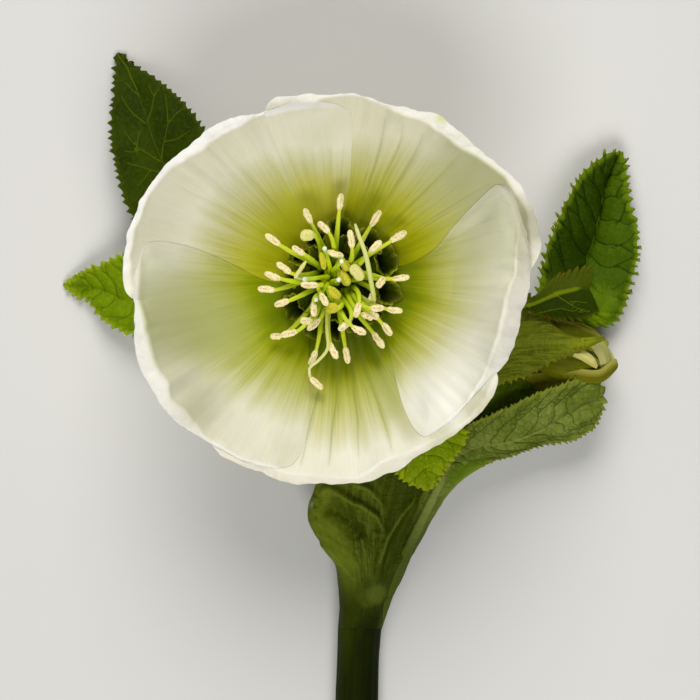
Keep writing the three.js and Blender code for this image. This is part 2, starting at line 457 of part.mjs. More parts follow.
// ---------------------------------------------------------------- leaves
// Each leaf: its middle line and its two margins, from base to tip.
const leaf = ([middle, left, right], rows = 12) => {
  const grid = [];
  for (let r = 0; r <= rows; r++) {
    const t = r / rows;
    const [m, a, b] = [middle, left, right].map((line) => at(...spline(line, t)));
    grid.push([a, mix(a, m, 0.5), m, mix(m, b, 0.5), b]);
  }
  return sheet(grid, LEAF_THICKNESS);
};
const LEAVES = {
  bract_upper_left: [
    [[200, 262, 5.6], [188, 220, 6.0], [170, 178, 6.6], [155, 145, 6.2], [147, 120, 5.0], [140, 97, 3.6], [133, 78, 2.4], [125, 63, 1.2], [117.5, 53.5, 0.4]],
    [[190, 266, 5.8], [150, 240, 6.8], [126, 206, 7.6], [114, 160, 7.2], [110, 135, 6.0], [111, 112, 4.4], [113, 92, 3.0], [114, 70, 1.5], [116, 55, 0.5]],
    [[210, 257, 5.8], [224, 205, 7.0], [219, 160, 7.6], [203, 127, 7.0], [188, 107, 5.8], [172, 91, 4.4], [155, 78, 3.0], [137, 66, 1.6], [119, 52.5, 0.5]]],
  bract_left: [
    [[205, 282, 6.2], [170, 294, 5.8], [134, 302, 4.6], [115, 296, 3.4], [103, 290, 2.4], [90, 288, 1.4], [76, 286, 0.8], [63, 285, 0.4]],
    [[203, 275, 6.2], [170, 256, 6.8], [132, 252, 6.0], [112, 258, 4.8], [102, 263, 3.6], [90, 267, 2.4], [76, 275, 1.2], [64, 283, 0.5]],
    [[205, 292, 6.2], [178, 322, 6.6], [136, 335, 5.6], [108, 324, 4.2], [97, 314, 3.0], [90, 303, 2.0], [77, 296, 1.0], [64, 287, 0.5]]],
  bract_right: [
    [[541, 312, 8.8], [562, 300, 6.6], [580, 281, 3.8], [587, 258, 1.6], [593, 242, 0.9], [597, 225, 0.5], [601, 208, 0.4], [604, 190, 0.6], [609, 175, 1.2], [614, 164, 1.8], [620, 153, 2.2]],
    [[536, 305, 9.5], [536, 290, 9.6], [541, 262, 9.0], [548, 238, 8.2], [557, 218, 7.4], [567, 200, 6.6], [572, 186, 5.8], [581, 173, 4.8], [594, 161, 3.8], [606, 152, 3.0], [618, 149.5, 2.5]],
    [[551, 316, 8.6], [580, 323, 5.4], [607, 326, 3.6], [621, 316, 3.4], [632, 288, 3.9], [638, 266, 4.4], [640, 248, 4.4], [636, 222, 4.2], [630, 195, 3.8], [628, 178, 3.4], [628, 164, 3.0], [624, 152, 2.5]]],
  bract_small_folded: [
    [[521, 306, 14.1], [533, 304, 14.8], [545, 299, 15.6], [558, 293.5, 16.0], [572, 290, 15.9], [581, 288, 15.2], [588, 289, 14.4]],
    [[525, 291, 13.8], [535, 296, 13.8], [547, 285, 13.7], [557, 277, 13.6], [570, 272, 13.4], [582, 269, 13.2], [595, 267, 13.1]],
    [[522, 312, 13.7], [533, 312, 13.4], [547, 317, 13.0], [561, 319, 12.8], [577, 318, 12.6], [590, 315, 12.4], [600, 312, 12.3]]],
  bract_over_bud: [
    [[497, 348, 11.8], [518, 343, 13.3], [540, 342, 13.8], [556, 342, 13.9], [578, 341.5, 13.6], [604, 337.8, 12.8]],
    [[498, 322, 10.9], [520, 311, 11.2], [543, 314, 11.3], [556, 328, 12.6], [577, 338, 13.2], [603, 336.5, 12.8]],
    [[494, 386, 11.4], [512, 381, 12.8], [530, 375, 13.3], [545, 365, 13.5], [566, 356, 13.4], [604, 339, 12.7]]],
  bract_behind_bud: [
    [[478, 408, 8.7], [500, 398, 9.0], [522, 391, 8.7], [546, 387, 7.6]],
    [[481, 392, 9.1], [500, 380, 9.5], [521, 377, 9.2], [546, 384.5, 7.8]],
    [[483, 418, 7.7], [502, 412, 7.9], [525, 403, 7.7], [546, 389.5, 7.4]]],
  bract_lower_right: [
    [[400, 566, 9.4], [408, 544, 10.2], [417, 522, 10.5], [427, 503, 10.6], [436, 486, 10.6], [446, 469, 10.6], [458, 456, 10.6], [477, 447, 10.4], [500, 444, 10.2], [521, 439, 10.0], [545, 428, 9.8], [565, 415, 9.4], [586, 402, 8.8], [600, 396, 8.2]],
    [[389, 560, 10.4], [394, 540, 11.0], [400, 520, 11.3], [409, 503, 11.5], [419, 489, 11.5], [431, 468, 11.4], [441, 449, 11.4], [459, 431, 11.6], [480, 419, 11.8], [510, 405, 12.0], [540, 392, 12.0], [560, 384, 11.6], [580, 377.5, 11.0], [602, 385, 8.8]],
    [[409, 569, 8.5], [416, 549, 9.0], [426, 529, 9.3], [437, 509, 9.5], [444, 496, 9.5], [455, 484, 9.2], [470, 472, 8.6], [490, 462, 8.2], [510, 457, 8.0], [530, 450, 7.8], [552, 444, 7.6], [573, 443, 7.4], [592, 431, 7.6], [603, 408, 8.0]]],
  bract_lower_lobe: [
    [[425, 412, 14.2], [425, 440, 14.2], [427, 468, 13.8], [429.5, 489, 13.2]],
    [[404, 414, 14.0], [385, 447, 13.6], [400, 478, 13.4], [427, 490.5, 13.1]],
    [[446, 410, 14.0], [468, 434, 13.6], [449, 466, 13.4], [432, 489, 13.1]]],
  bract_clasping: [
    [[364, 594, 9.2], [362, 566, 10.3], [358, 538, 11.9], [356, 510, 12.6], [358, 485, 12.6], [362, 464, 12.5]],
    [[340, 594, 7.4], [335, 566, 8.1], [318, 540, 8.8], [308.5, 513, 9.8], [313, 488, 10.2], [324, 466, 10.5]],
    [[388, 597, 7.2], [399, 574, 7.3], [410, 550, 7.7], [422, 524, 8.1], [430, 500, 8.5], [432, 480, 8.9]]],
};
const LEAF_COLOURS = [0x4d6a1c, 0x86b02c, 0x4f7a2e, 0x4a7a24, 0x77964a, 0x3f5a1c, 0x6f9650, 0x8fae3e, 0x6f9a3c];
Object.entries(LEAVES).forEach(([name, lines], i) => {
  put(name, leaf(lines, name === 'bract_lower_right' ? 14 : name.includes('right') ? 12 : 8), LEAF_COLOURS[i], 0.55);
});

// ---------------------------------------------------------------- the bud
const BUD_AXIS = [[529, 347, 6.3], [550, 351, 6.2], [575, 356, 6.2], [597, 361, 6.3], [614, 364, 6.6]];
const BUD_PROFILE = [[0, 0.42], [0.1, 0.74], [0.26, 0.97], [0.45, 1.02], [0.66, 0.93], [0.84, 0.69], [0.95, 0.43], [1, 0.22]];
const budAxis = byLength(BUD_AXIS.map(([u, v, z]) => at(u, v, z)), 9);
const budFrames = frames(budAxis, [0, 0, 1]);
const budPoint = (t, angle, inset) => {
  const x = clamp(t, 0, 1) * 8, i = Math.min(Math.floor(x), 7), f = x - i;
  const c = mix(budAxis[i], budAxis[i + 1], f);
  const s = unit(mix(budFrames[i][1], budFrames[i + 1][1], f)), b = unit(mix(budFrames[i][2], budFrames[i + 1][2], f));
  const r = Math.max(BUD_RADIUS * table(BUD_PROFILE, t) - inset, 0.25);
  return addv(c, addv(mul(s, r * Math.cos(angle)), mul(b, r * Math.sin(angle))));
};
const shell = (from, to, t0, t1, rows, cols) => {
  const outer = [], inner = [];
  for (let r = 0; r <= rows; r++) {
    const t = t0 + (t1 - t0) * r / rows;
    const a = [], b = [];
    for (let c = 0; c <= cols; c++) {
      const w = (from + (to - from) * c / cols) * Math.PI / 180;
      a.push(budPoint(t, w, 0)); b.push(budPoint(t, w, 0.5));
    }
    outer.push(a); inner.push(b);
  }
  const pos = [...outer.flat(), ...inner.flat()];
  const n = cols + 1, m = rows + 1, idx = [];
  const id = (s, r, c) => s * n * m + r * n + c;
  const quad = (a, b, c, d) => idx.push(a, b, c, a, c, d);
  for (let r = 0; r < rows; r++) for (let c = 0; c < cols; c++) {
    quad(id(0, r, c), id(0, r, c + 1), id(0, r + 1, c + 1), id(0, r + 1, c));
    quad(id(1, r, c), id(1, r + 1, c), id(1, r + 1, c + 1), id(1, r, c + 1));
  }
  for (let c = 0; c < cols; c++) {
    quad(id(0, 0, c), id(1, 0, c), id(1, 0, c + 1), id(0, 0, c + 1));
    quad(id(0, rows, c), id(0, rows, c + 1), id(1, rows, c + 1), id(1, rows, c));
  }
  for (let r = 0; r < rows; r++) {
    quad(id(0, r, 0), id(0, r + 1, 0), id(1, r + 1, 0), id(1, r, 0));
    quad(id(0, r, cols), id(1, r, cols), id(1, r + 1, cols), id(0, r + 1, cols));
  }
  return solid(pos, idx);
};
put('bud_sepal_upper', shell(-8, 106, 0.02, 0.97, 8, 6), 0x8c9648, 0.5);
put('bud_sepal_lower', shell(232, 346, 0.02, 0.9, 8, 6), 0x7d8c3c, 0.5);
put('bud_sepal_under', shell(112, 226, 0.02, 0.93, 8, 6), 0x7d8c3c, 0.5);
{
  const rings = [];
  for (let r = 0; r <= 8; r++) {
    const ring = [];
    for (let k = 0; k < 12; k++) ring.push(budPoint(0.03 + 0.97 * r / 8, 2 * Math.PI * k / 12, r === 8 ? 0.3 : 0.85));
    rings.push(ring);
  }
  put('bud_inner_sepals', loft(rings), 0xd8d9a0, 0.5);
}

// ---------------------------------------------------------------- the stem
// Main stem with its node, the flower's pedicel and receptacle, the stalk of
// the bud, and the stalks of the bracts: grown as one piece.
const mainRows = byLength([
  [352, 975, 3.72, STEM_RADIUS], [354, 850, 3.72, STEM_RADIUS], [357, 700, 3.74, STEM_RADIUS], [359, 640, 3.8, 3.75],
  [363, 600, 4.0, 3.95], [366, 575, 4.3, 4.2], [363, 548, 5.0, 3.3], [355, 512, 5.8, 2.6], [348, 470, 6.2, PEDICEL_RADIUS],
].map(([u, v, z, r]) => [...at(u, v, z), r]), 15);
const mainRings = tubeRings(mainRows, 14, [0, 0, 1]);
mainRings[0] = mainRings[0].map(([x, y, z]) => [x, y - (z - 3.7 + ORIGIN[2]) * 0.55, z]);
const stemParts = [
  loft(mainRings),
  planTube([[349, 476, 6.15, 2.1], [345, 440, 6.4, PEDICEL_RADIUS], [340, 380, 6.9, 2.2], [337, 335, 7.4, 2.2], [336.5, 308, 8.2, 2.3],
    [336.2, 290, 9.6, 2.5], [336, 281, 11.2, 3.0], [336, 280, 12.6, RECEPTACLE_RADIUS - 0.4]], 12, 10),
  planTube([[369, 565, 4.8, 2.9], [395, 522, 5.0, 2.4], [430, 466, 5.2, 2.0], [465, 410, 5.4, 1.9], [494, 370, 5.8, 1.9],
    [509, 350, 6.2, 2.0], [521, 346, 6.3, 2.1]], 11, 8),
  planTube([[494, 372, 6.2, 1.2], [508, 340, 7.2, 1.2], [520, 316, 8.4, 1.1], [531, 309, 8.6, 0.9]], 5, 6),
  planTube([[505, 345, 6.8, 1.1], [517, 308, 9.2, 0.9], [525, 301, 12.4, 0.8]], 5, 6),
  planTube([[474, 396, 5.8, 1.1], [482, 372, 8.2, 1.0], [489, 352, 10.4, 0.9]], 4, 6),
  planTube([[432, 463, 5.6, 1.1], [425, 435, 9.6, 1.0], [421, 412, 12.6, 0.9], [421, 402, 13.9, 0.8]], 5, 6),
  planTube([[342, 408, 6.6, 1.3], [300, 350, 5.4, 1.3], [252, 308, 5.2, 1.2], [212, 279, 5.4, 1.0]], 7, 6),
];
{
  const mid = at(BASE_U, BASE_V, BASE_Z);
  const dome = [[2.2, -3.6], [DISH_RADIUS - 0.6, -2.6], [DISH_RADIUS, -2.25], [DISH_RADIUS, -1.95], [RECEPTACLE_RADIUS, -1.8],
    [RECEPTACLE_RADIUS, 0.1], [RECEPTACLE_RADIUS * 0.93, 0.6]].map(([r, z]) => {
    const ring = [];
    for (let k = 0; k < 14; k++) {
      const a = 2 * Math.PI * k / 14;
      ring.push([mid[0] + r * Math.cos(a), mid[1] + r * Math.sin(a), BASE_Z + z - ORIGIN[2]]);
    }
    return ring;
  });
  stemParts.push(loft(dome));
}
put('stem', join(stemParts), 0x4c6b1f, 0.5);

export default flower;
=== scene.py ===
# Hellebore flower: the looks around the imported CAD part. Metres, +Z up.
# The shapes are worked out in millimetres on the same plan as the CAD model
# (u right, v down, 700 units square) and turned into metres at the end.
import math

import bpy
import numpy as np
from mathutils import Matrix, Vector
from mathutils.bvhtree import BVHTree
from mathutils.geometry import delaunay_2d_cdt


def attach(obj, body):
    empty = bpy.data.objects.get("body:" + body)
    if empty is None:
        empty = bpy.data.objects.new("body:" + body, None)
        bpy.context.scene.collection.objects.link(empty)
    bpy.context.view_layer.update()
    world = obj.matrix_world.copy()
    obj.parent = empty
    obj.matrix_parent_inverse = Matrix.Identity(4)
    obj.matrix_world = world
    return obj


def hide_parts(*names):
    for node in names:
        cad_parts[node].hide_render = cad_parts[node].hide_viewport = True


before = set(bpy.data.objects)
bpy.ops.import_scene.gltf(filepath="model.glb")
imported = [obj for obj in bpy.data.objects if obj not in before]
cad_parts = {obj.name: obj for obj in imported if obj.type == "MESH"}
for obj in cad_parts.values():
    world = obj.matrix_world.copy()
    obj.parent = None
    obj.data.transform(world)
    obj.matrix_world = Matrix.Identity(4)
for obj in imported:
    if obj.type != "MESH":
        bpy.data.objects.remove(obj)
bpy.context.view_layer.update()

# ------------------------------------------------------------------ plan
PLAN_UNIT, EYE_HEIGHT, EYE_DISTANCE = 0.165, 415.0, 385.0
ORIGIN = (0.02, -29.68, 0.019)
FLOWER_U, FLOWER_V = 337.0, 285.0
BASE_U, BASE_V, BASE_Z, BASE_ARC = 336.0, 280.0, 13.2, 28.0
PITCH = 0.88


def at(u, v, z):
    u, v, z = np.broadcast_arrays(np.asarray(u, float), np.asarray(v, float), np.asarray(z, float))
    k = PLAN_UNIT * (EYE_HEIGHT - z) / EYE_DISTANCE
    return np.stack([(u - 350) * k - ORIGIN[0], (350 - v) * k - ORIGIN[1], z - ORIGIN[2]], -1)


def smooth(a, b, x):
    t = np.clip((np.asarray(x, float) - a) / (b - a), 0, 1)
    return t * t * (3 - 2 * t)


def spline(rows, t):
    """Catmull-Rom through rows; t from 0 to 1 over their index."""
    rows = np.asarray(rows, float)
    n = len(rows) - 1
    x = np.clip(np.asarray(t, float), 0, 1) * n
    i = np.minimum(np.floor(x).astype(int), n - 1)
    f = (x - i)[..., None]
    full = np.vstack([2 * rows[0] - rows[1], rows, 2 * rows[-1] - rows[-2]])
    p0, p1, p2, p3 = full[i], full[i + 1], full[i + 2], full[i + 3]
    return 0.5 * (2 * p1 + (p2 - p0) * f + (2 * p0 - 5 * p1 + 4 * p2 - p3) * f ** 2
                  + (3 * p1 - p0 - 3 * p2 + p3) * f ** 3)


def along(points, where):
    """Points at the given shares of a polyline's length."""
    points = np.asarray(points, float)
    d = np.r_[0, np.cumsum(np.linalg.norm(np.diff(points, axis=0), axis=1))]
    d /= d[-1]
    return np.stack([np.interp(where, d, points[:, k]) for k in range(points.shape[1])], -1)


def table(pts, x):
    pts = np.asarray(pts, float)
    px, py = pts[:, 0], pts[:, 1]
    m = np.empty(len(px))
    m[1:-1] = (py[2:] - py[:-2]) / (px[2:] - px[:-2])
    m[0] = (py[1] - py[0]) / (px[1] - px[0])
    m[-1] = (py[-1] - py[-2]) / (px[-1] - px[-2])
    x = np.clip(np.asarray(x, float), px[0], px[-1])
    i = np.clip(np.searchsorted(px, x, side="right") - 1, 0, len(px) - 2)
    h = px[i + 1] - px[i]
    t = (x - px[i]) / h
    return (py[i] * (1 + 2 * t) * (1 - t) ** 2 + m[i] * h * t * (1 - t) ** 2
            + py[i + 1] * t * t * (3 - 2 * t) + m[i + 1] * h * t * t * (t - 1))


def noise1(x, seed):
    g = np.random.RandomState(seed).uniform(-1, 1, 512)
    x = np.asarray(x, float)
    i = np.floor(x).astype(int)
    f = x - i
    f = f * f * f * (f * (f * 6 - 15) + 10)
    return g[i % 512] * (1 - f) + g[(i + 1) % 512] * f


def noise2(x, y, seed):
    g = np.random.RandomState(seed).uniform(-1, 1, (128, 128))
    x, y = np.broadcast_arrays(np.asarray(x, float), np.asarray(y, float))
    i, j = np.floor(x).astype(int), np.floor(y).astype(int)
    f, q = x - i, y - j
    f = f * f * f * (f * (f * 6 - 15) + 10)
    q = q * q * q * (q * (q * 6 - 15) + 10)
    a, b = g[i % 128, j % 128], g[(i + 1) % 128, j % 128]
    c, d = g[i % 128, (j + 1) % 128], g[(i + 1) % 128, (j + 1) % 128]
    return (a * (1 - f) + b * f) * (1 - q) + (c * (1 - f) + d * f) * q


def fbm2(x, y, seed, octaves=3):
    out, amp = 0, 1.0
    for k in range(octaves):
        out = out + amp * noise2(np.asarray(x) * 2 ** k, np.asarray(y) * 2 ** k, seed + 17 * k)
        amp *= 0.5
    return out


def unit(a):
    return a / np.maximum(np.linalg.norm(a, axis=-1, keepdims=True), 1e-12)


def to_lines(p, lines, sided=False):
    """Distance from points p (n, d) to the nearest of some polylines, and how far along that line (0..1)."""
    best = np.full(len(p), 1e9)
    share_ = np.zeros(len(p))
    which = np.zeros(len(p), int)
    sign = np.ones(len(p))
    for k, line in enumerate(lines):
        line = np.asarray(line, float)
        for i in range(len(line) - 1):
            a, b = line[i], line[i + 1]
            ab = b - a
            t = np.clip(((p - a) @ ab) / max(ab @ ab, 1e-12), 0, 1)
            d = np.linalg.norm(p - (a + t[:, None] * ab), axis=1)
            m = d < best
            best[m] = d[m]
            share_[m] = (i + t[m]) / (len(line) - 1)
            which[m] = k
            if sided:
                sign[m] = np.where(ab[0] * (p[m, 1] - a[1]) > ab[1] * (p[m, 0] - a[0]), 1.0, -1.0)
    return (best, share_, which, sign) if sided else (best, share_, which)


# ------------------------------------------------------------------ meshes
def add_mesh(name, verts, quads=None, tris=None, uvs=None, mats=(), mat_index=None, flat=False):
    quads = np.zeros((0, 4), int) if quads is None else np.asarray(quads, int).reshape(-1, 4)
    tris = np.zeros((0, 3), int) if tris is None else np.asarray(tris, int).reshape(-1, 3)
    v = np.asarray(verts, float).reshape(-1, 3) * 0.001
    vol = 0.0
    for f in (quads[:, [0, 1, 2]], quads[:, [0, 2, 3]], tris):
        if len(f):
            vol += np.einsum("ij,ij->i", v[f[:, 0]], np.cross(v[f[:, 1]], v[f[:, 2]])).sum()
    if vol < 0:
        quads, tris = quads[:, ::-1], tris[:, ::-1]
    loops = np.r_[quads.ravel(), tris.ravel()]
    starts = np.r_[np.arange(len(quads)) * 4, len(quads) * 4 + np.arange(len(tris)) * 3]
    me = bpy.data.meshes.new(name)
    me.vertices.add(len(v))
    me.vertices.foreach_set("co", v.ravel())
    me.loops.add(len(loops))
    me.loops.foreach_set("vertex_index", loops.astype(np.int32))
    me.polygons.add(len(starts))
    me.polygons.foreach_set("loop_start", starts.astype(np.int32))
    me.update(calc_edges=True)
    for key, uv in (uvs or {}).items():
        layer = me.uv_layers.new(name=key)
        layer.data.foreach_set("uv", np.asarray(uv, np.float32).reshape(-1, 2)[loops].ravel())
    me.polygons.foreach_set("use_smooth", np.full(len(starts), not flat, bool))
    if mat_index is not None:
        me.polygons.foreach_set("material_index", np.asarray(mat_index, np.int32))
    me.update()
    ob = bpy.data.objects.new(name, me)
    bpy.context.scene.collection.objects.link(ob)
    for m in mats:
        me.materials.append(m)
    return ob


def grid_faces(nr, nc, closed=False, offset=0):
    r, c = np.meshgrid(np.arange(nr - 1), np.arange(nc if closed else nc - 1), indexing="ij")
    r, c = r.ravel(), c.ravel()
    d = (c + 1) % nc
    return np.stack([r * nc + c, r * nc + d, (r + 1) * nc + d, (r + 1) * nc + c], -1) + offset


def sheet_mesh(grid, thick, uvs, lift=0.0):
    """A thin closed body round a grid of points: vertices, quads, uvs."""
    nr, nc = grid.shape[:2]
    n = unit(np.cross(np.gradient(grid, axis=0), np.gradient(grid, axis=1)))
    if n[..., 2].mean() < 0:
        n = -n
    half = (np.asarray(thick) / 2)[..., None] if np.ndim(thick) else thick / 2
    top, low = grid + n * half + n * lift, grid - n * half + n * lift
    q = grid_faces(nr, nc)
    m = nr * nc
    edge = np.r_[np.arange(nc), np.arange(1, nr) * nc + nc - 1,
                 (nr - 1) * nc + np.arange(nc - 2, -1, -1), np.arange(nr - 2, 0, -1) * nc]
    nxt = np.roll(edge, -1)
    # the top grid's winding and its opposite below, joined round the border
    side = np.stack([nxt, edge, edge + m, nxt + m], -1)
    quads = np.vstack([q, q[:, ::-1] + m, side])
    return np.vstack([top.reshape(-1, 3), low.reshape(-1, 3)]), quads, {
        k: np.vstack([np.reshape(v, (-1, 2))] * 2) for k, v in uvs.items()}, n


def frames_of(path, start=(0, 0, 1)):
    path = np.asarray(path, float)
    t = unit(np.gradient(path, axis=0))
    side = np.asarray(start, float)
    a = np.empty_like(path)
    for i in range(len(path)):
        side = side - t[i] * (side @ t[i])
        side = side / max(np.linalg.norm(side), 1e-9)
        a[i] = side
    return t, a, np.cross(t, a)


def tube_mesh(path, radii, sides, caps=True, shape=None, start=(0, 0, 1)):
    """A closed tube. shape(theta, share) scales the radius."""
    path = np.asarray(path, float)
    n = len(path)
    t, a, b = frames_of(path, start)
    th = 2 * np.pi * np.arange(sides) / sides
    r = np.broadcast_to(np.asarray(radii, float)[:, None], (n, sides)).copy()
    if shape is not None:
        r = r * shape(th[None, :], np.linspace(0, 1, n)[:, None])
    ring = path[:, None] + a[:, None] * (r * np.cos(th))[..., None] + b[:, None] * (r * np.sin(th))[..., None]
    verts = ring.reshape(-1, 3)
    quads = grid_faces(n, sides, closed=True)
    tris = []
    if caps:
        verts = np.vstack([verts, path[0] - t[0] * 0.0, path[-1]])
        k = n * sides
        i = np.arange(sides)
        j = (i + 1) % sides
        tris = np.vstack([np.stack([np.full(sides, k), j, i], -1),
                          np.stack([np.full(sides, k + 1), (n - 1) * sides + i, (n - 1) * sides + j], -1)])
    uv = np.stack([np.broadcast_to(th / (2 * np.pi), (n, sides)),
                   np.broadcast_to(np.linspace(0, 1, n)[:, None], (n, sides))], -1).reshape(-1, 2)
    if caps:
        uv = np.vstack([uv, [[0.5, 0.0]], [[0.5, 1.0]]])
    return verts, quads, tris, uv


class Bag:
    """Several closed bodies in one mesh."""
    def __init__(self):
        self.v, self.q, self.t, self.uv, self.mq, self.mt, self.n = [], [], [], [], [], [], 0

    def add(self, verts, quads, tris, uv, mat=0):
        self.v.append(verts)
        self.q.append(np.asarray(quads, int).reshape(-1, 4) + self.n)
        self.t.append(np.asarray(tris, int).reshape(-1, 3) + self.n)
        self.uv.append(uv)
        self.mq.append(np.full(len(self.q[-1]), mat))
        self.mt.append(np.full(len(self.t[-1]), mat))
        self.n += len(verts)

    def make(self, name, mats, uv_name):
        return add_mesh(name, np.vstack(self.v), np.vstack(self.q), np.vstack(self.t),
                        {uv_name: np.vstack(self.uv)}, mats, np.r_[np.concatenate(self.mq), np.concatenate(self.mt)])


# ------------------------------------------------------------------ materials
def srgb(r, g, b):
    def f(c):
        c /= 255.0
        return c / 12.92 if c <= 0.04045 else ((c + 0.055) / 1.055) ** 2.4
    return (f(r), f(g), f(b), 1.0)


class Mat:
    """A node material written from the top down."""
    def __init__(self, name, **set_):
        self.m = bpy.data.materials.new(name)
        self.m.use_nodes = True
        self.t = self.m.node_tree
        self.t.nodes.clear()
        self.out = self.t.nodes.new("ShaderNodeOutputMaterial")
        self.bsdf = self.t.nodes.new("ShaderNodeBsdfPrincipled")
        self.t.links.new(self.bsdf.outputs[0], self.out.inputs["Surface"])
        for k, v in set_.items():
            self.bsdf.inputs[k.replace("_", " ")].default_value = v

    def node(self, kind, **props):
        n = self.t.nodes.new(kind)
        for k, v in props.items():
            setattr(n, k, v)
        return n

    def put(self, sock, value):
        if isinstance(value, bpy.types.NodeSocket):
            self.t.links.new(value, sock)
        else:
            sock.default_value = value

    def math(self, op, a, b=0.0, c=0.0, clamp=False):
        n = self.node("ShaderNodeMath", operation=op, use_clamp=clamp)
        self.put(n.inputs[0], a)
        self.put(n.inputs[1], b)
        self.put(n.inputs[2], c)
        return n.outputs[0]

    def add(self, a, b):
        return self.math("ADD", a, b)

    def mul(self, a, b):
        return self.math("MULTIPLY", a, b)

    def step(self, x, a, b, lo=0.0, hi=1.0):
        n = self.node("ShaderNodeMapRange", interpolation_type="SMOOTHSTEP")
        self.put(n.inputs["Value"], x)
        n.inputs["From Min"].default_value = a
        n.inputs["From Max"].default_value = b
        n.inputs["To Min"].default_value = lo
        n.inputs["To Max"].default_value = hi
        return n.outputs["Result"]

    def mix(self, fac, a, b, blend="MIX"):
        n = self.node("ShaderNodeMix", data_type="RGBA", blend_type=blend, clamp_factor=True)
        self.put(n.inputs[0], fac)
        self.put(n.inputs[6], a)
        self.put(n.inputs[7], b)
        return n.outputs[2]

    def ramp(self, fac, stops):
        n = self.node("ShaderNodeValToRGB")
        e = n.color_ramp.elements
        while len(e) < len(stops):
            e.new(0.5)
        for k, (p, c) in enumerate(stops):
            e[k].position = p
            e[k].color = c
        self.put(n.inputs[0], fac)
        return n.outputs[0]

    def uv(self, name):
        n = self.node("ShaderNodeUVMap", uv_map=name)
        s = self.node("ShaderNodeSeparateXYZ")
        self.t.links.new(n.outputs[0], s.inputs[0])
        return s.outputs[0], s.outputs[1]

    def vec(self, x, y, z=0.0):
        n = self.node("ShaderNodeCombineXYZ")
        self.put(n.inputs[0], x)
        self.put(n.inputs[1], y)
        self.put(n.inputs[2], z)
        return n.outputs[0]

    def noise(self, vec, scale=1.0, detail=2.0, rough=0.5, distort=0.0):
        n = self.node("ShaderNodeTexNoise")
        self.put(n.inputs["Vector"], vec)
        n.inputs["Scale"].default_value = scale
        n.inputs["Detail"].default_value = detail
        n.inputs["Roughness"].default_value = rough
        n.inputs["Distortion"].default_value = distort
        return n.outputs["Fac"]

    def cells(self, vec, scale=1.0, feature="DISTANCE_TO_EDGE"):
        n = self.node("ShaderNodeTexVoronoi", feature=feature)
        self.put(n.inputs["Vector"], vec)
        n.inputs["Scale"].default_value = scale
        return n.outputs["Distance"]

    def bump(self, height, distance, strength=1.0, normal=None):
        n = self.node("ShaderNodeBump")
        n.inputs["Strength"].default_value = strength
        n.inputs["Distance"].default_value = distance
        self.put(n.inputs["Height"], height)
        if normal is not None:
            self.put(n.inputs["Normal"], normal)
        self.put(self.bsdf.inputs["Normal"], n.outputs[0])
        return n.outputs[0]

    def place(self):
        n = self.node("ShaderNodeTexCoord")
        return n.outputs["Object"]

    def colour(self, c):
        self.put(self.bsdf.inputs["Base Color"], c)

    def rough(self, r):
        self.put(self.bsdf.inputs["Roughness"], r)


# ------------------------------------------------------------------ camera, light, floor
def area(name, place, aim, size, power, colour=(1, 1, 1)):
    d = bpy.data.lights.new(name, "AREA")
    d.shape, d.size, d.energy, d.color = "DISK", size, power, colour
    o = bpy.data.objects.new(name, d)
    o.location = place
    o.rotation_euler = (Vector(aim) - Vector(place)).to_track_quat("-Z", "Y").to_euler()
    bpy.context.scene.collection.objects.link(o)
    return o


cam = bpy.data.cameras.new("camera")
cam.lens, cam.sensor_width, cam.sensor_fit = 120.0, 36.0, "HORIZONTAL"
cam.clip_start, cam.clip_end = 0.01, 20.0
camera = bpy.data.objects.new("camera", cam)
camera.location = (-ORIGIN[0] * 0.001, -ORIGIN[1] * 0.001, (EYE_HEIGHT - ORIGIN[2]) * 0.001)
bpy.context.scene.collection.objects.link(camera)
bpy.context.scene.camera = camera

area("key", (-0.04, 0.60, 0.60), (0.0, 0.03, 0.015), 0.56, 4.9, (1.0, 0.985, 0.955))
area("back", (0.05, 0.80, 0.20), (0.0, 0.04, 0.02), 0.36, 0.9, (1.0, 0.98, 0.94))
area("fill", (0.02, -0.52, 0.62), (0.0, 0.02, 0.01), 0.50, 4.2, (1.0, 0.995, 0.985))

world = bpy.data.worlds.new("studio")
bpy.context.scene.world = world
world.use_nodes = True
world.node_tree.nodes["Background"].inputs[0].default_value = (0.86, 0.89, 0.92, 1)
world.node_tree.nodes["Background"].inputs[1].default_value = 0.14
bpy.context.scene.view_settings.view_transform = "Standard"

m = Mat("floor_paint", Roughness=0.85, Specular_IOR_Level=0.2)
m.colour(m.mix(m.noise(m.place(), 14.0, 3.0), srgb(214, 213, 209), srgb(220, 219, 215)))
floor_mat = m.m
me = bpy.data.meshes.new("floor")
me.from_pydata([(-3, -3, 0), (3, -3, 0), (3, 3, 0), (-3, 3, 0)], [], [(0, 1, 2, 3)])
floor = bpy.data.objects.new("floor", me)
floor.location = (0, 0, 0)
me.materials.append(floor_mat)
bpy.context.scene.collection.objects.link(floor)

# ------------------------------------------------------------------ the bowl
BOWL = [
    (0, 0), (0.08, 0), (0.15, 0.25), (0.25, 1.0), (0.35, 2.2), (0.45, 3.9), (0.55, 6.1), (0.65, 8.8), (0.74, 11.9),
    (0.82, 15.3), (0.88, 18.2), (0.92, 20.2), (0.942, 21.3), (0.956, 21.7), (0.98, 21.95), (1.0, 22.1), (1.06, 22.3)]
WALL = BOWL[:11] + [(1.0, 24.0), (1.12, 29.8)]
RIM = (199.9, ((-9.1, -0.55), (4.2, 3.6), (-0.6, 4.1), (-1.2, 0.6)))


def rim_at(phi):
    r = RIM[0]
    for k, (c, q) in enumerate(RIM[1]):
        r = r + c * np.cos((k + 1) * phi) + q * np.sin((k + 1) * phi)
    return r


def share_of(u, v):
    x, y = np.asarray(u, float) - FLOWER_U, FLOWER_V - np.asarray(v, float)
    phi = np.arctan2(y, x)
    return np.hypot(x, y) / rim_at(phi), phi


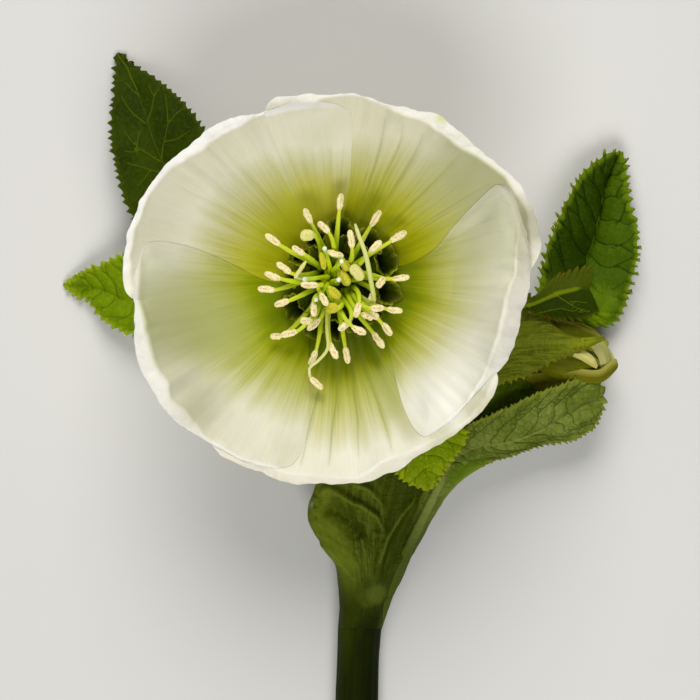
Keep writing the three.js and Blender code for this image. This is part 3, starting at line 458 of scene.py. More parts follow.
# middle angle, layer, corners (from, to) of the margin, outline anticlockwise
SEPALS = {
    "sepal_left": [208, 0, (9, 26), [
        [308, 281], [296, 282.5], [280, 283], [262, 279], [240, 268], [215, 256], [190, 247], [165, 243], [150, 245],
        [141, 255], [136, 272], [134, 288], [133.5, 303], [133.6, 321], [134.6, 339], [137.8, 357.5], [143.5, 375],
        [152.5, 391], [161.5, 407], [175, 421], [191, 432], [207, 442], [224, 452], [243, 461], [262, 467], [279, 468],
        [292, 462], [302, 446], [308, 424], [309.5, 400], [309, 372], [309, 345], [312, 322], [318, 307]]],
    "sepal_upper_left": [134, -1, (6, 25), [
        [337, 252], [341, 235], [346, 205], [349.5, 180], [351, 155], [351.5, 133], [348, 116], [339, 104.5],
        [325, 101], [309, 100.5], [292, 102.5], [275, 106.5], [258, 113], [240, 117], [222, 121], [206, 129],
        [193, 140.5], [179, 152], [165, 164.5], [154, 179], [143.5, 195], [135, 211.5], [128.8, 229], [124.8, 247.5],
        [122.8, 266], [122.5, 281], [126, 293], [136, 300], [155, 303], [185, 302], [215, 300], [245, 298],
        [270, 296], [289, 289], [303, 279]]],
    "sepal_upper_right": [59, -2, (7, 29), [
        [364, 272], [385, 279], [420, 279], [455, 278], [490, 280], [515, 279], [528, 272], [536, 262], [541, 249],
        [540, 235], [535, 214], [528, 198], [518, 181.5], [503, 168], [490, 156.8], [476, 145.7], [463, 135],
        [450.6, 123], [436, 113.5], [419, 109.4], [402, 106.5], [386, 102.5], [370, 96.5], [354, 93], [337, 92.8],
        [320, 93.2], [303, 93.3], [286, 93.5], [274, 97], [266, 106], [266, 122], [275, 145], [291, 178], [310, 213],
        [330, 247]]],
    "sepal_right": [346, 0, (8, 26), [
        [356, 303], [366, 312], [377, 325], [386, 341], [391, 362], [396, 384], [401, 403], [409, 421], [418, 431],
        [427, 433.5], [441, 425.5], [451, 420], [464, 403], [481, 387], [497, 372], [511, 354], [517, 337], [523, 313],
        [528, 296], [531.5, 280], [531, 260], [528, 240], [523.5, 221], [517, 203], [509, 189], [500, 184.5],
        [490, 188], [471, 205], [451, 228], [434, 248], [417, 260], [398, 267], [381, 271], [367, 274]]],
    "sepal_bottom": [276, -1, (7, 28), [
        [325, 306], [313, 321], [298, 342], [280, 366], [258, 392], [236, 415], [218, 432], [211, 442], [219, 454],
        [235, 462.5], [251, 469.6], [268, 476], [285, 481.5], [302, 484.3], [320, 484.3], [337, 483.3], [354, 482.7],
        [371.5, 480.5], [388, 475.5], [403, 466.8], [417, 457.5], [432, 449.5], [446, 441], [460, 431.5], [473.5, 421],
        [484.5, 408], [493.5, 394.5], [498.5, 380], [494, 369], [480, 362], [458, 354], [432, 344], [402, 330],
        [375, 315], [352, 302.5]]],
}
# where the bowl's wall turns out into the margin
FOLDS = {
    "sepal_left": [(142, 262), (140, 287), (145, 321), (153, 352), (161, 373), (168, 382), (171, 399), (183, 407),
                   (196, 423), (207, 437), (226, 448), (246, 459), (270, 463), (289, 464)],
    "sepal_upper_left": [(339, 110), (312, 109), (280, 113), (262, 116), (240, 127), (225, 135), (210, 143),
                         (198, 153), (188, 158), (175, 166), (158, 185), (147, 200), (137, 225), (132, 250), (131, 280)],
    "sepal_upper_right": [(275, 104), (310, 101), (350, 97), (365, 99), (380, 105), (395, 113), (410, 118),
                          (428, 126), (440, 134), (455, 146), (470, 154), (480, 160), (490, 166), (502, 175),
                          (512, 188), (521, 203), (527, 225), (531, 245)],
    "sepal_right": [(495, 187), (505, 190), (512, 194), (517, 205), (518, 222), (517, 238), (512, 258), (508, 272),
                    (505, 285), (505, 300), (503, 315), (499, 330), (490, 352), (478, 375), (463, 399), (447, 414),
                    (438, 422), (424, 431)],
    "sepal_bottom": [(216, 442), (238, 456), (262, 464), (290, 470), (320, 474), (341, 476), (355, 476), (368, 470),
                     (384, 458), (405, 451), (425, 442), (450, 430), (470, 416), (485, 397), (490, 382)],
}
# plan radius at which the green heart has mostly faded, by angle
REACH = {
    "sepal_left": [(158, 112), (180, 128), (200, 136), (215, 130), (232, 120), (250, 114)],
    "sepal_upper_left": [(88, 100), (105, 108), (120, 114), (132, 118), (150, 118), (165, 114), (182, 108)],
    "sepal_upper_right": [(10, 122), (22, 128), (35, 130), (50, 127), (65, 120), (80, 110), (92, 102)],
    "sepal_right": [(-65, 104), (-40, 108), (-20, 114), (0, 118), (14, 118), (30, 110)],
    "sepal_bottom": [(236, 118), (252, 122), (268, 126), (280, 126), (295, 122), (312, 116)],
}
# pleats along the sepal: (how many across, height in mm)
PLEATS = {"sepal_left": (13, 0.11), "sepal_upper_left": (8, 0.30), "sepal_upper_right": (11, 0.30),
          "sepal_right": (12, 0.10), "sepal_bottom": (13, 0.20)}
# how far each free side edge is drawn towards the sepal under it: (first side, last side)
PRESS = {"sepal_left": (0.58, 0.58), "sepal_upper_left": (0.58, 0.0), "sepal_upper_right": (0.0, 0.0),
         "sepal_right": (0.58, 0.58), "sepal_bottom": (0.0, 0.0)}
# veins that stand out, in plan
VEINS = {
    "sepal_bottom": [[(334, 318), (336, 340), (338, 363), (336, 397), (332, 427), (330, 453), (328, 468)],
                     [(346, 316), (350, 340), (352, 363), (354, 393), (357, 415), (357.5, 437), (359, 462)],
                     [(352, 314), (359, 340), (363, 363), (373, 390), (382, 417), (387, 433), (393, 455)],
                     [(328, 322), (324, 350), (320, 382), (312, 415), (305, 447), (300, 468)],
                     [(360, 318), (374, 345), (390, 372), (408, 400), (425, 425), (432, 440)]],
    "sepal_upper_right": [[(348, 240), (362, 205), (374, 170), (382, 140), (386, 115)],
                          [(356, 244), (378, 212), (398, 182), (414, 155), (424, 132)],
                          [(362, 250), (392, 222), (420, 196), (444, 172), (462, 152)],
                          [(366, 258), (402, 236), (436, 216), (468, 196), (496, 180)],
                          [(352, 242), (370, 208), (386, 176), (398, 148), (404, 122)]],
    "sepal_upper_left": [[(322, 246), (306, 214), (290, 180), (276, 148), (266, 122)],
                         [(314, 250), (290, 222), (264, 194), (240, 168), (220, 146)],
                         [(306, 258), (274, 238), (240, 218), (206, 200), (176, 186)]],
    "sepal_left": [[(302, 296), (270, 304), (230, 314), (190, 324), (158, 332)],
                   [(306, 306), (280, 328), (250, 354), (220, 382), (196, 406)],
                   [(300, 288), (264, 286), (224, 282), (186, 278), (156, 274)]],
    "sepal_right": [[(374, 284), (404, 286), (440, 288), (474, 288), (502, 286)],
                    [(372, 294), (402, 310), (434, 328), (464, 344), (486, 356)],
                    [(372, 276), (404, 266), (438, 248), (470, 228), (500, 210)]],
}


def petal_material(name, seed, tone, greens, deep, veins, dusk, painted_light_and_tint_patches, rim):
    """Cream, a green heart that runs out along the veins, and fine lengthwise lines."""
    m = Mat(name, Roughness=0.6, Specular_IOR_Level=0.08, Subsurface_Weight=0.06, Subsurface_Scale=0.0003)
    m.bsdf.inputs["Subsurface Radius"].default_value = (1.0, 0.9, 0.5)
    s, t = m.uv("petal_uv")
    g, edge = m.uv("petal_heart")
    x, y = m.uv("petal_mm")
    vd, vs = m.uv("petal_vein")
    band, side = m.uv("petal_band")
    a = m.mul(s, 10.0)
    broad = m.noise(m.vec(m.mul(a, 1.6), m.mul(t, 1.0), seed), 1.0, 1.0)
    vein = m.noise(m.vec(m.mul(a, 4.2), m.mul(t, 0.9), seed + 3.1), 1.0, 1.0, 0.5, 0.12)
    line = m.noise(m.vec(m.mul(a, 11.0), m.mul(t, 1.4), seed + 7.7), 1.0, 1.5, 0.5)
    fine = m.noise(m.vec(m.mul(a, 32.0), m.mul(t, 2.6), seed + 11.3), 1.0, 1.5, 0.5)
    cloud = m.noise(m.vec(m.mul(x, 0.14), m.mul(y, 0.14), seed), 1.0, 2.0)
    push = m.add(m.add(m.mul(m.math("SUBTRACT", vein, 0.5), -0.14), m.mul(m.math("SUBTRACT", line, 0.5), -0.06)),
                 m.mul(m.math("SUBTRACT", broad, 0.5), -0.22))
    gg = m.add(g, m.mul(push, m.step(g, 0.25, 0.7)))
    heart = m.ramp(m.mul(gg, 0.5), [
        (0.18, greens[0]), (0.27, greens[1]), (0.325, greens[2]), (0.375, greens[3]), (0.44, greens[4]),
        (0.50, greens[5]), (0.575, greens[6]), (0.66, tone)])
    # soft threads in the heart, faint lines outside it
    thread = m.step(m.math("ABSOLUTE", m.math("SUBTRACT", line, 0.5)), 0.0, 0.06, 1.0, 0.0)
    inner = m.mul(m.step(g, 0.45, 0.70), m.step(g, 0.85, 1.35, 1.0, 0.0))
    c = m.mix(m.mul(m.mul(thread, inner), deep), heart, srgb(110, 124, 10))
    faint = m.mul(m.step(m.math("ABSOLUTE", m.math("SUBTRACT", fine, 0.5)), 0.0, 0.08, 1.0, 0.0), m.step(g, 0.6, 1.0))
    c = m.mix(m.mul(faint, 0.10), c, srgb(182, 184, 116))
    c = m.mix(m.mul(m.step(line, 0.42, 0.66), m.mul(m.step(g, 0.7, 1.1), 0.09)), c, srgb(252, 250, 236))
    c = m.mix(m.mul(m.step(cloud, 0.42, 0.72), m.mul(m.step(g, 0.8, 1.3), dusk)), c, srgb(196, 194, 148))
    # veins that stand out: a thin dark thread in a soft green line
    c = m.mix(m.mul(m.step(vd, 0.0, 0.75, 1.0, 0.0), m.mul(vs, 0.30 * veins)), c, srgb(150, 158, 66))
    c = m.mix(m.mul(m.step(vd, 0.02, 0.22, 1.0, 0.0), m.mul(vs, 0.50 * veins)), c, srgb(126, 138, 40))
    # the margin beyond the fold takes the rim colour: partly the margin's own paler tone, partly painted light where
    # the turned-out margin faces the lights, and painted shade on the bottom and right sepals, whose rim colours are
    # darker than their bodies; the free edges have a pale line
    soft = m.noise(m.vec(m.mul(x, 0.35), m.mul(y, 0.35), seed + 5.0), 1.0, 2.0)
    c = m.mix(m.mul(m.step(band, 0.05, 0.9), m.add(0.55, m.mul(soft, 0.5))), c, rim)
    c = m.mix(m.mul(m.step(edge, 0.1, 1.2, 1.0, 0.0), 0.25), c, rim)
    c = m.mix(m.mul(m.step(side, 0.05, 0.45, 1.0, 0.0), m.mul(m.step(g, 0.7, 1.1), 0.10)), c, srgb(250, 248, 232))
    # painted light and shade: the olive-grey and other dark patches are painted shade on parts of the wall that lie in
    # shade, the paler and brighter ones are painted light; one small patch is a sepal tip's own yellow-green
    for cx, cy, rad, amount, *other in painted_light_and_tint_patches:
        px, py = at(cx, cy, 26.0)[:2]
        away = m.math("SQRT", m.add(m.math("POWER", m.math("SUBTRACT", x, float(px)), 2.0),
                                    m.math("POWER", m.math("SUBTRACT", y, float(py)), 2.0)))
        share_ = m.mul(m.step(away, rad * 0.15, rad, 1.0, 0.0), amount)
        if name in ("sepal_upper_right_tissue", "sepal_left_tissue") and not other:
            share_ = m.mul(share_, m.step(band, 0.1, 0.8, 1.0, 0.12))
        c = m.mix(share_, c, srgb(*(other[0] if other else (172, 176, 112))))
    m.colour(c)
    h = m.add(m.add(m.mul(vein, 0.7), m.mul(line, 0.45)), m.mul(fine, 0.2))
    crisp = m.noise(m.vec(m.mul(x, 1.5), m.mul(y, 1.5), seed + 2.0), 1.0, 3.0, 0.6, 0.4)
    h = m.add(h, m.mul(m.mul(crisp, band), 1.5))
    m.bump(h, 0.00014, 0.55)
    return m.m


def margin_noise(phi, seed):
    return noise1(phi * 6.0, seed) * 0.55 + noise1(phi * 13.0, seed + 1) * 0.32 + noise1(phi * 25.0, seed + 2) * 0.13


def inside(p, loop):
    """Which of the points lie inside the closed loop."""
    hit = np.zeros(len(p), bool)
    a = np.asarray(loop, float)
    b = np.roll(a, -1, axis=0)
    for (x0, y0), (x1, y1) in zip(a, b):
        cross = (y0 > p[:, 1]) != (y1 > p[:, 1])
        if y0 != y1:
            hit ^= cross & (p[:, 0] < (x1 - x0) * (p[:, 1] - y0) / (y1 - y0) + x0)
    return hit


def even(line, step):
    """A polyline at even spacing, both ends kept."""
    L = np.linalg.norm(np.diff(line, axis=0), axis=1).sum()
    return along(line, np.linspace(0, 1, max(int(round(L / step)), 1) + 1))


LOWER = []


def rest_on(X, nrm, tri, d, thick):
    """How far to move each point so that the margins lie on the sepals already made, and nothing cuts into them."""
    n = len(X)
    goal = np.full(n, np.nan)
    for i in np.flatnonzero(d < 9.0):
        long_ = float(np.linalg.norm(nrm[i]))
        start, way = Vector(X[i] + nrm[i] * 4.0), Vector(-nrm[i] / long_)
        for tree in LOWER:
            hit = tree.ray_cast(start, way, 10.5)
            if hit[0] is not None:
                h = (4.0 * long_ - hit[3] + (thick[i] / 2 + 0.03) / max(abs(hit[1].dot(way)), 0.35)) / long_
                goal[i] = h if np.isnan(goal[i]) else max(goal[i], h)
    there = ~np.isnan(goal)
    goal = np.where(there, goal, 0.0)
    move = np.where(there, goal * np.exp(-(d / 4.2) ** 2), 0.0)
    e = np.vstack([tri[:, [0, 1]], tri[:, [1, 2]], tri[:, [2, 0]]])
    e = np.unique(np.sort(e, axis=1), axis=0)
    deg = np.maximum(np.bincount(e.ravel(), minlength=n), 1)

    def around(w):
        return (np.bincount(e[:, 0], w[e[:, 1]], n) + np.bincount(e[:, 1], w[e[:, 0]], n)) / deg

    over = there.astype(float)
    for _ in range(22):
        move = 0.4 * move + 0.6 * around(move)
    for _ in range(240):
        over = 0.3 * over + 0.7 * around(over)
    # no step where the margin leaves the sepal below
    seam = 0.7 * np.clip(5 * over * (1 - over), 0, 1) * smooth(9.0, 7.0, d)
    lie = np.where(there, goal + np.maximum(move - goal, 0) * smooth(0.0, 4.2, d), move)
    for _ in range(340):
        lie = lie + seam * (around(lie) - lie)
        lie = np.where(there, np.clip(lie, goal, goal + 0.08 + 0.35 * d), lie)
    return lie


class Petal:
    def __init__(self, name, seed):
        self.name, self.seed = name, seed
        self.middle, self.layer, (ca, cb), outline = SEPALS[name]
        n = len(outline) - 1
        a = np.radians(self.middle - 29 + 58 * np.linspace(0, 1, 60))
        base = np.stack([BASE_U + BASE_ARC * np.cos(a), BASE_V - BASE_ARC * np.sin(a)], -1)
        self.first = spline(outline, np.linspace(0, ca, 500) / n)
        self.top = spline(outline, np.linspace(ca, cb, 900) / n)
        self.last = spline(outline, np.linspace(cb, n, 500) / n)
        self.first[0], self.last[-1] = base[0], base[-1]
        d = np.r_[0, np.cumsum(np.linalg.norm(np.diff(self.top, axis=0), axis=1))]
        out = unit(self.top - np.array([FLOWER_U, FLOWER_V]))
        wave = 1.1 * noise1(d / 19.0, seed + 71) + 0.8 * noise1(d / 9.0, seed + 72) + 0.35 * noise1(d / 4.5, seed + 73)
        self.top = self.top + out * (wave * smooth(0, 24, d) * smooth(0, 24, d[-1] - d))[:, None]
        self.base = base
        fu, fv = np.array(FOLDS[name], float).T
        ff, fp = share_of(fu, fv)
        fp = self.turn(fp)
        o = np.argsort(fp)
        self.deg = np.linspace(-np.pi, np.pi, 1441)
        fold = np.interp(self.deg, fp[o], ff[o])
        k = np.hanning(17)
        self.fold = np.convolve(np.pad(fold, 8, mode="edge"), k / k.sum(), "valid")

    def turn(self, p):
        return (p - math.radians(self.middle) + np.pi) % (2 * np.pi) - np.pi

    def wall(self, u, v):
        f, phi = share_of(u, v)
        # the angle runs on without a break across these two
        if self.name == "sepal_left":
            phi = np.where(phi > 0, phi - 2 * np.pi, phi)
        elif self.name == "sepal_upper_left":
            phi = phi % (2 * np.pi)
        fold = np.interp(self.turn(phi), self.deg, self.fold)
        fold = fold + 0.006 * noise1(phi * 11, self.seed + 61) + 0.004 * noise1(phi * 23, self.seed + 62)
        fw = np.where(f < 0.6, f, np.where(f < fold, 0.6 + (f - 0.6) * (0.942 - 0.6) / (fold - 0.6),
                                           0.942 + (f - fold) * (1.0 - 0.942) / np.maximum(1.01 - fold, 0.02)))
        z = BASE_Z + table(BOWL, fw) + 0.05 * (FLOWER_V - v) * PLAN_UNIT * smooth(0.2, 0.9, f)
        band = smooth(fold - 0.012, fold + 0.04, f)
        calm = smooth(4.0, 26.0, np.minimum(self.da, self.db)) if self.da is not None else 1.0
        z = z + band * calm * 0.50 * margin_noise(phi, self.seed)
        # a lip along the fold
        lip = 0.30 * (0.55 + 0.45 * noise1(phi * 9, self.seed + 64))
        z = z + lip * calm * np.exp(-((f - fold - 0.006) / 0.011) ** 2)
        return z, f, phi, band

    def point(self, u, v):
        z, f, phi, band = self.wall(u, v)
        return at(u, v, z), f, phi, band

    def lean(self, u, v):
        """The way the layers are set apart: square to the wall, straight down at the margin."""
        def plain(a, b):
            f = share_of(a, b)[0]
            return at(a, b, BASE_Z + table(WALL, f) + 0.05 * (FLOWER_V - b) * PLAN_UNIT * smooth(0.2, 0.9, f))
        n = unit(np.cross(plain(u + 0.5, v) - plain(u - 0.5, v), plain(u, v + 0.5) - plain(u, v - 0.5)))
        n[n[:, 2] < 0] *= -1
        k = smooth(0.76, 0.985, share_of(u, v)[0])[:, None]
        return n * (1 - k) + np.array([0, 0, 1.0]) * k

    def build(self, step=1.68):
        rim = np.vstack([even(self.first, step), even(self.top, step)[1:], even(self.last, step)[1:],
                         even(self.base[::-1], step)[1:-1]])
        d = np.roll(rim, -1, axis=0) - np.roll(rim, 1, axis=0)
        nrm = unit(np.stack([-d[:, 1], d[:, 0]], -1))
        if not inside(rim + nrm * 0.5, rim).mean() > 0.5:
            nrm = -nrm
        pts = [rim]
        closed = np.vstack([rim, rim[:1]])
        for k, off in enumerate((0.55, 1.3, 2.3)):
            q = rim[(k % 2)::1] + nrm[(k % 2)::1] * off
            q = q[inside(q, rim)]
            pts.append(q[to_lines(q, [closed])[0] > off * 0.93])
        lo, hi = rim.min(0), rim.max(0)
        rows = np.arange(lo[1], hi[1], step * 0.866)
        lat = np.vstack([np.stack([np.arange(lo[0] + (0.5 * step if k % 2 else 0), hi[0], step),
                                   np.full(len(np.arange(lo[0] + (0.5 * step if k % 2 else 0), hi[0], step)), r)], -1)
                         for k, r in enumerate(rows)])
        lat = lat[inside(lat, rim)]
        lat = lat[to_lines(lat, [closed])[0] > 2.3 + step * 0.6]
        pts.append(lat)
        P = np.vstack(pts)
        nb = len(rim)
        res = delaunay_2d_cdt([Vector((float(a), float(b))) for a, b in P], [(k, (k + 1) % nb) for k in range(nb)], [], 1, 1e-5)
        P = np.array([(q[0], q[1]) for q in res[0]])
        tri = np.array([f for f in res[2] if len(f) == 3], int)
        used = np.unique(tri)
        new = np.full(len(P), -1)
        new[used] = np.arange(len(used))
        return P[used], new[tri]

    def make(self, tone, heart_, deep, veins, dusk, painted_light_and_tint_patches, rim):
        name, seed, layer = self.name, self.seed, self.layer
        P, tri = self.build()
        u, v = P[:, 0], P[:, 1]
        self.da, self.db = to_lines(P, [even(self.first, 2.5)])[0], to_lines(P, [even(self.last, 2.5)])[0]
        X, f, phi, band = self.point(u, v)
        nrm = self.lean(u, v)
        side_a, side_b = self.da * PLAN_UNIT, self.db * PLAN_UNIT
        to_margin = np.minimum(to_lines(P, [even(self.top, 2.0)])[0] * PLAN_UNIT, 30)
        lay = layer
        if name == "sepal_upper_right":
            lay = -1.0 - smooth(math.radians(58), math.radians(84), phi)
        off = lay * smooth(0.09, 0.165, f) * PITCH
        clear = smooth(0.13, 0.26, f)
        off = off - clear * PRESS[name][0] * np.exp(-(side_a / 2.6) ** 2) - clear * PRESS[name][1] * np.exp(-(side_b / 2.6) ** 2)
        thick = 0.06 + 0.24 * smooth(0.0, 1.5, np.minimum(to_margin, np.minimum(side_a, side_b))) + 0.16 * smooth(0.34, 0.2, f)
        ray = np.arctan2(BASE_V - v, u - BASE_U)
        S = 0.5 + self.turn(ray) / 1.75
        many, high_ = PLEATS[name]
        side = np.minimum(side_a, side_b)
        held = 0.45 if name == "sepal_upper_left" else 0.8
        rise = smooth(0.24, 0.5, f) * (1 - held * smooth(0.66, 0.93, f)) * (0.35 + 0.65 * smooth(0, 3, side))
        off = off + high_ * rise * (noise1(S * many + 0.3 * np.sin(3 * f), seed + 9) + 0.4 * noise1(S * many * 2.3, seed + 10))
        off = off + 0.16 * fbm2(X[:, 0] / 9, X[:, 1] / 9, 20, 2) * smooth(0.4, 0.8, f)
        # crinkles across the margin
        off = off + band * 0.11 * noise1(phi * 30, seed + 30) * smooth(0.5, 4.5, side)
        off = off + 0.12 * band * noise2(X[:, 0] * 0.8, X[:, 1] * 0.8, seed + 33)
        off = off - 0.16 * band * (1 - np.abs(noise2(X[:, 0] * 0.55, X[:, 1] * 0.55, seed + 35))) ** 7
        # the very edge rolls over
        off = off - 0.12 * np.clip(1 - to_margin / 0.9, 0, 1) ** 2 * smooth(0.5, 2.5, side)
        vd, vs, _ = to_lines(P, [spline(q, np.linspace(0, 1, 40)) for q in VEINS[name]])
        vd = vd * PLAN_UNIT
        off = off - 0.06 * np.exp(-(vd / 0.35) ** 2) * smooth(0.0, 0.1, vs) * smooth(1.0, 0.85, vs)
        X = X + nrm * off[:, None]
        if LOWER:
            free = np.where(f > 0.30, np.minimum(to_margin, side), 30.0)
            X = X + nrm * rest_on(X, nrm, tri, free, thick)[:, None]
        # the mesh's own normals carry the thickness
        fn = np.cross(X[tri[:, 1]] - X[tri[:, 0]], X[tri[:, 2]] - X[tri[:, 0]])
        if fn[:, 2].mean() < 0:
            tri = tri[:, ::-1]
            fn = -fn
        vn = np.zeros_like(X)
        for k in range(3):
            np.add.at(vn, tri[:, k], fn)
        vn = unit(vn)
        top, low = X + vn * thick[:, None] / 2, X - vn * thick[:, None] / 2
        LOWER.append(BVHTree.FromPolygons([tuple(q) for q in top], [tuple(int(j) for j in q) for q in tri]))
        m = len(X)
        e = np.vstack([tri[:, [0, 1]], tri[:, [1, 2]], tri[:, [2, 0]]])
        key = np.sort(e, axis=1) @ np.array([m, 1])
        _, first, count = np.unique(key, return_index=True, return_counts=True)
        border = e[first[count == 1]]
        quads = np.stack([border[:, 1], border[:, 0], border[:, 0] + m, border[:, 1] + m], -1)
        tris = np.vstack([tri, tri[:, ::-1] + m])
        r = f * rim_at(phi)
        rp, rv = np.array(REACH[name], float).T
        reach = np.interp(np.degrees(self.turn(phi)), [(q - self.middle + 180) % 360 - 180 for q in rp], rv)
        strong = smooth(0.0, 0.08, vs) * (1 - 0.65 * smooth(0.6, 1.0, vs)) * smooth(1.0, 0.93, vs)
        uvs = {"petal_uv": np.stack([S, r / 190.0], -1), "petal_heart": np.stack([r / reach, to_margin], -1),
               "petal_mm": X[:, :2], "petal_vein": np.stack([np.minimum(vd, 5), strong], -1),
               "petal_band": np.stack([band * smooth(0.0, 3.0, side), side], -1)}
        uvs = {k: np.vstack([w, w]) for k, w in uvs.items()}
        mat = petal_material(name + "_tissue", seed * 1.7, tone, heart_, deep, veins, dusk, painted_light_and_tint_patches, rim)
        ob = add_mesh(name + "_petal", np.vstack([top, low]), quads, tris, uvs, [mat])
        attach(ob, "root")
        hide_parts(name)
        return ob


def sepal(name, seed, tone, heart_, deep, veins, dusk=0.3, painted_light_and_tint_patches=(), rim=(238, 235, 224)):
    return Petal(name, seed).make(srgb(*tone), [srgb(*c) for c in heart_], deep, veins, dusk, painted_light_and_tint_patches, srgb(*rim))


Petal.da = Petal.db = None
GREENS = ((92, 110, 0), (106, 122, 0), (122, 134, 2), (160, 164, 30), (182, 183, 84), (201, 199, 122), (220, 216, 170))
# heart greens for the upper sepals, lighter than GREENS: partly their own brighter yellow-green, partly painted light
# against the shade of the bowl's upper wall; the upper left sepal's greens below are the same
GREENS_WITH_PAINTED_LIGHT = ((118, 126, 0), (140, 144, 0), (156, 158, 4), (174, 174, 24), (190, 188, 70), (203, 199, 116), (221, 216, 166))
# from the outermost to the innermost: each lies on the ones before it
# patches: the olive-grey default ones and the darker ones on the bottom, upper right, left and right sepals are painted
# shade; the near-white ones on the right sepal are painted light on its lit lower part; the yellow-green ones on the
# upper left sepal are painted light against the shade of the bowl's upper wall; the small spot at (440, 123) is the
# upper right sepal's own yellow-green tip. The bottom's and the right's rim colours are darker than their bodies,
# painted shade on the turned-out margin.
sepal("sepal_bottom", 41, (245, 243, 229), GREENS, 0.26, 0.9, 0.1,
      [(388, 384, 4.2, 0.5), (397, 408, 4.0, 0.5), (410, 430, 3.2, 0.45), (440, 436, 3.6, 0.35), (476, 402, 4.5, 0.35)],
      rim=(225, 219, 198))
sepal("sepal_upper_right", 23, (242, 237, 214), GREENS_WITH_PAINTED_LIGHT, 0.30, 0.55, 0.3,
      [(480, 180, 14.0, 0.66), (530, 226, 6.5, 0.62, (138, 138, 96)), (440, 123, 1.6, 0.6, (196, 200, 90))])
sepal("sepal_upper_left", 11, (243, 239, 219),
      ((140, 148, 0), (160, 162, 4), (172, 172, 20), (182, 182, 42), (190, 188, 76), (200, 196, 116), (218, 214, 164)), 0.2, 0.2, 0.14,
      [(316, 203, 7.5, 0.5, (206, 202, 62)), (296, 218, 6.0, 0.4, (190, 194, 10))], rim=(243, 242, 238))
sepal("sepal_left", 3, (234, 232, 214),
      ((104, 122, 0), (120, 136, 0), (136, 150, 0), (162, 167, 28), (174, 177, 66), (188, 189, 100), (213, 211, 162)), 0.22, 0.12, 0.25,
      [(172, 318, 13.5, 0.75), (215, 330, 9.0, 0.5), (200, 402, 7.0, 0.45, (176, 172, 134))],
      rim=(238, 236, 228))
sepal("sepal_right", 37, (241, 239, 222),
      ((90, 108, 0), (100, 116, 0), (114, 128, 0), (148, 153, 12), (178, 178, 76), (200, 198, 122), (224, 221, 180)), 0.20, 0.12, 0.1,
      [(486, 236, 12.0, 0.45), (436, 402, 9.0, 0.8, (253, 252, 244)), (470, 372, 8.0, 0.5, (250, 249, 240))], rim=(207, 203, 190))

# ------------------------------------------------------------------ nectaries
def nectary_material():
    m = Mat("nectary_tissue", Roughness=0.45, Specular_IOR_Level=0.10)
    th, t = m.uv("nectary_uv")
    n = m.noise(m.vec(m.mul(th, 22.0), m.mul(t, 3.0)), 1.0, 2.0)
    # the outside and the lip are the nectary's own greens; inside the cup the colour falls to near black, painted shade
    # in the hollow
    c = m.ramp(t, [(0.0, srgb(64, 82, 4)), (0.26, srgb(84, 102, 6)), (0.38, srgb(104, 118, 8)),
                   (0.465, srgb(132, 138, 14)), (0.50, srgb(160, 160, 40)), (0.53, srgb(120, 127, 8)), (0.57, srgb(66, 78, 0)),
                   (0.64, srgb(26, 34, 0)), (0.78, srgb(10, 14, 0)), (1.0, srgb(4, 6, 0))])
    c = m.mix(m.mul(m.step(n, 0.42, 0.62), 0.6), c, srgb(40, 52, 0))
    m.colour(c)
    m.bump(n, 0.00012, 0.5)
    return m.m


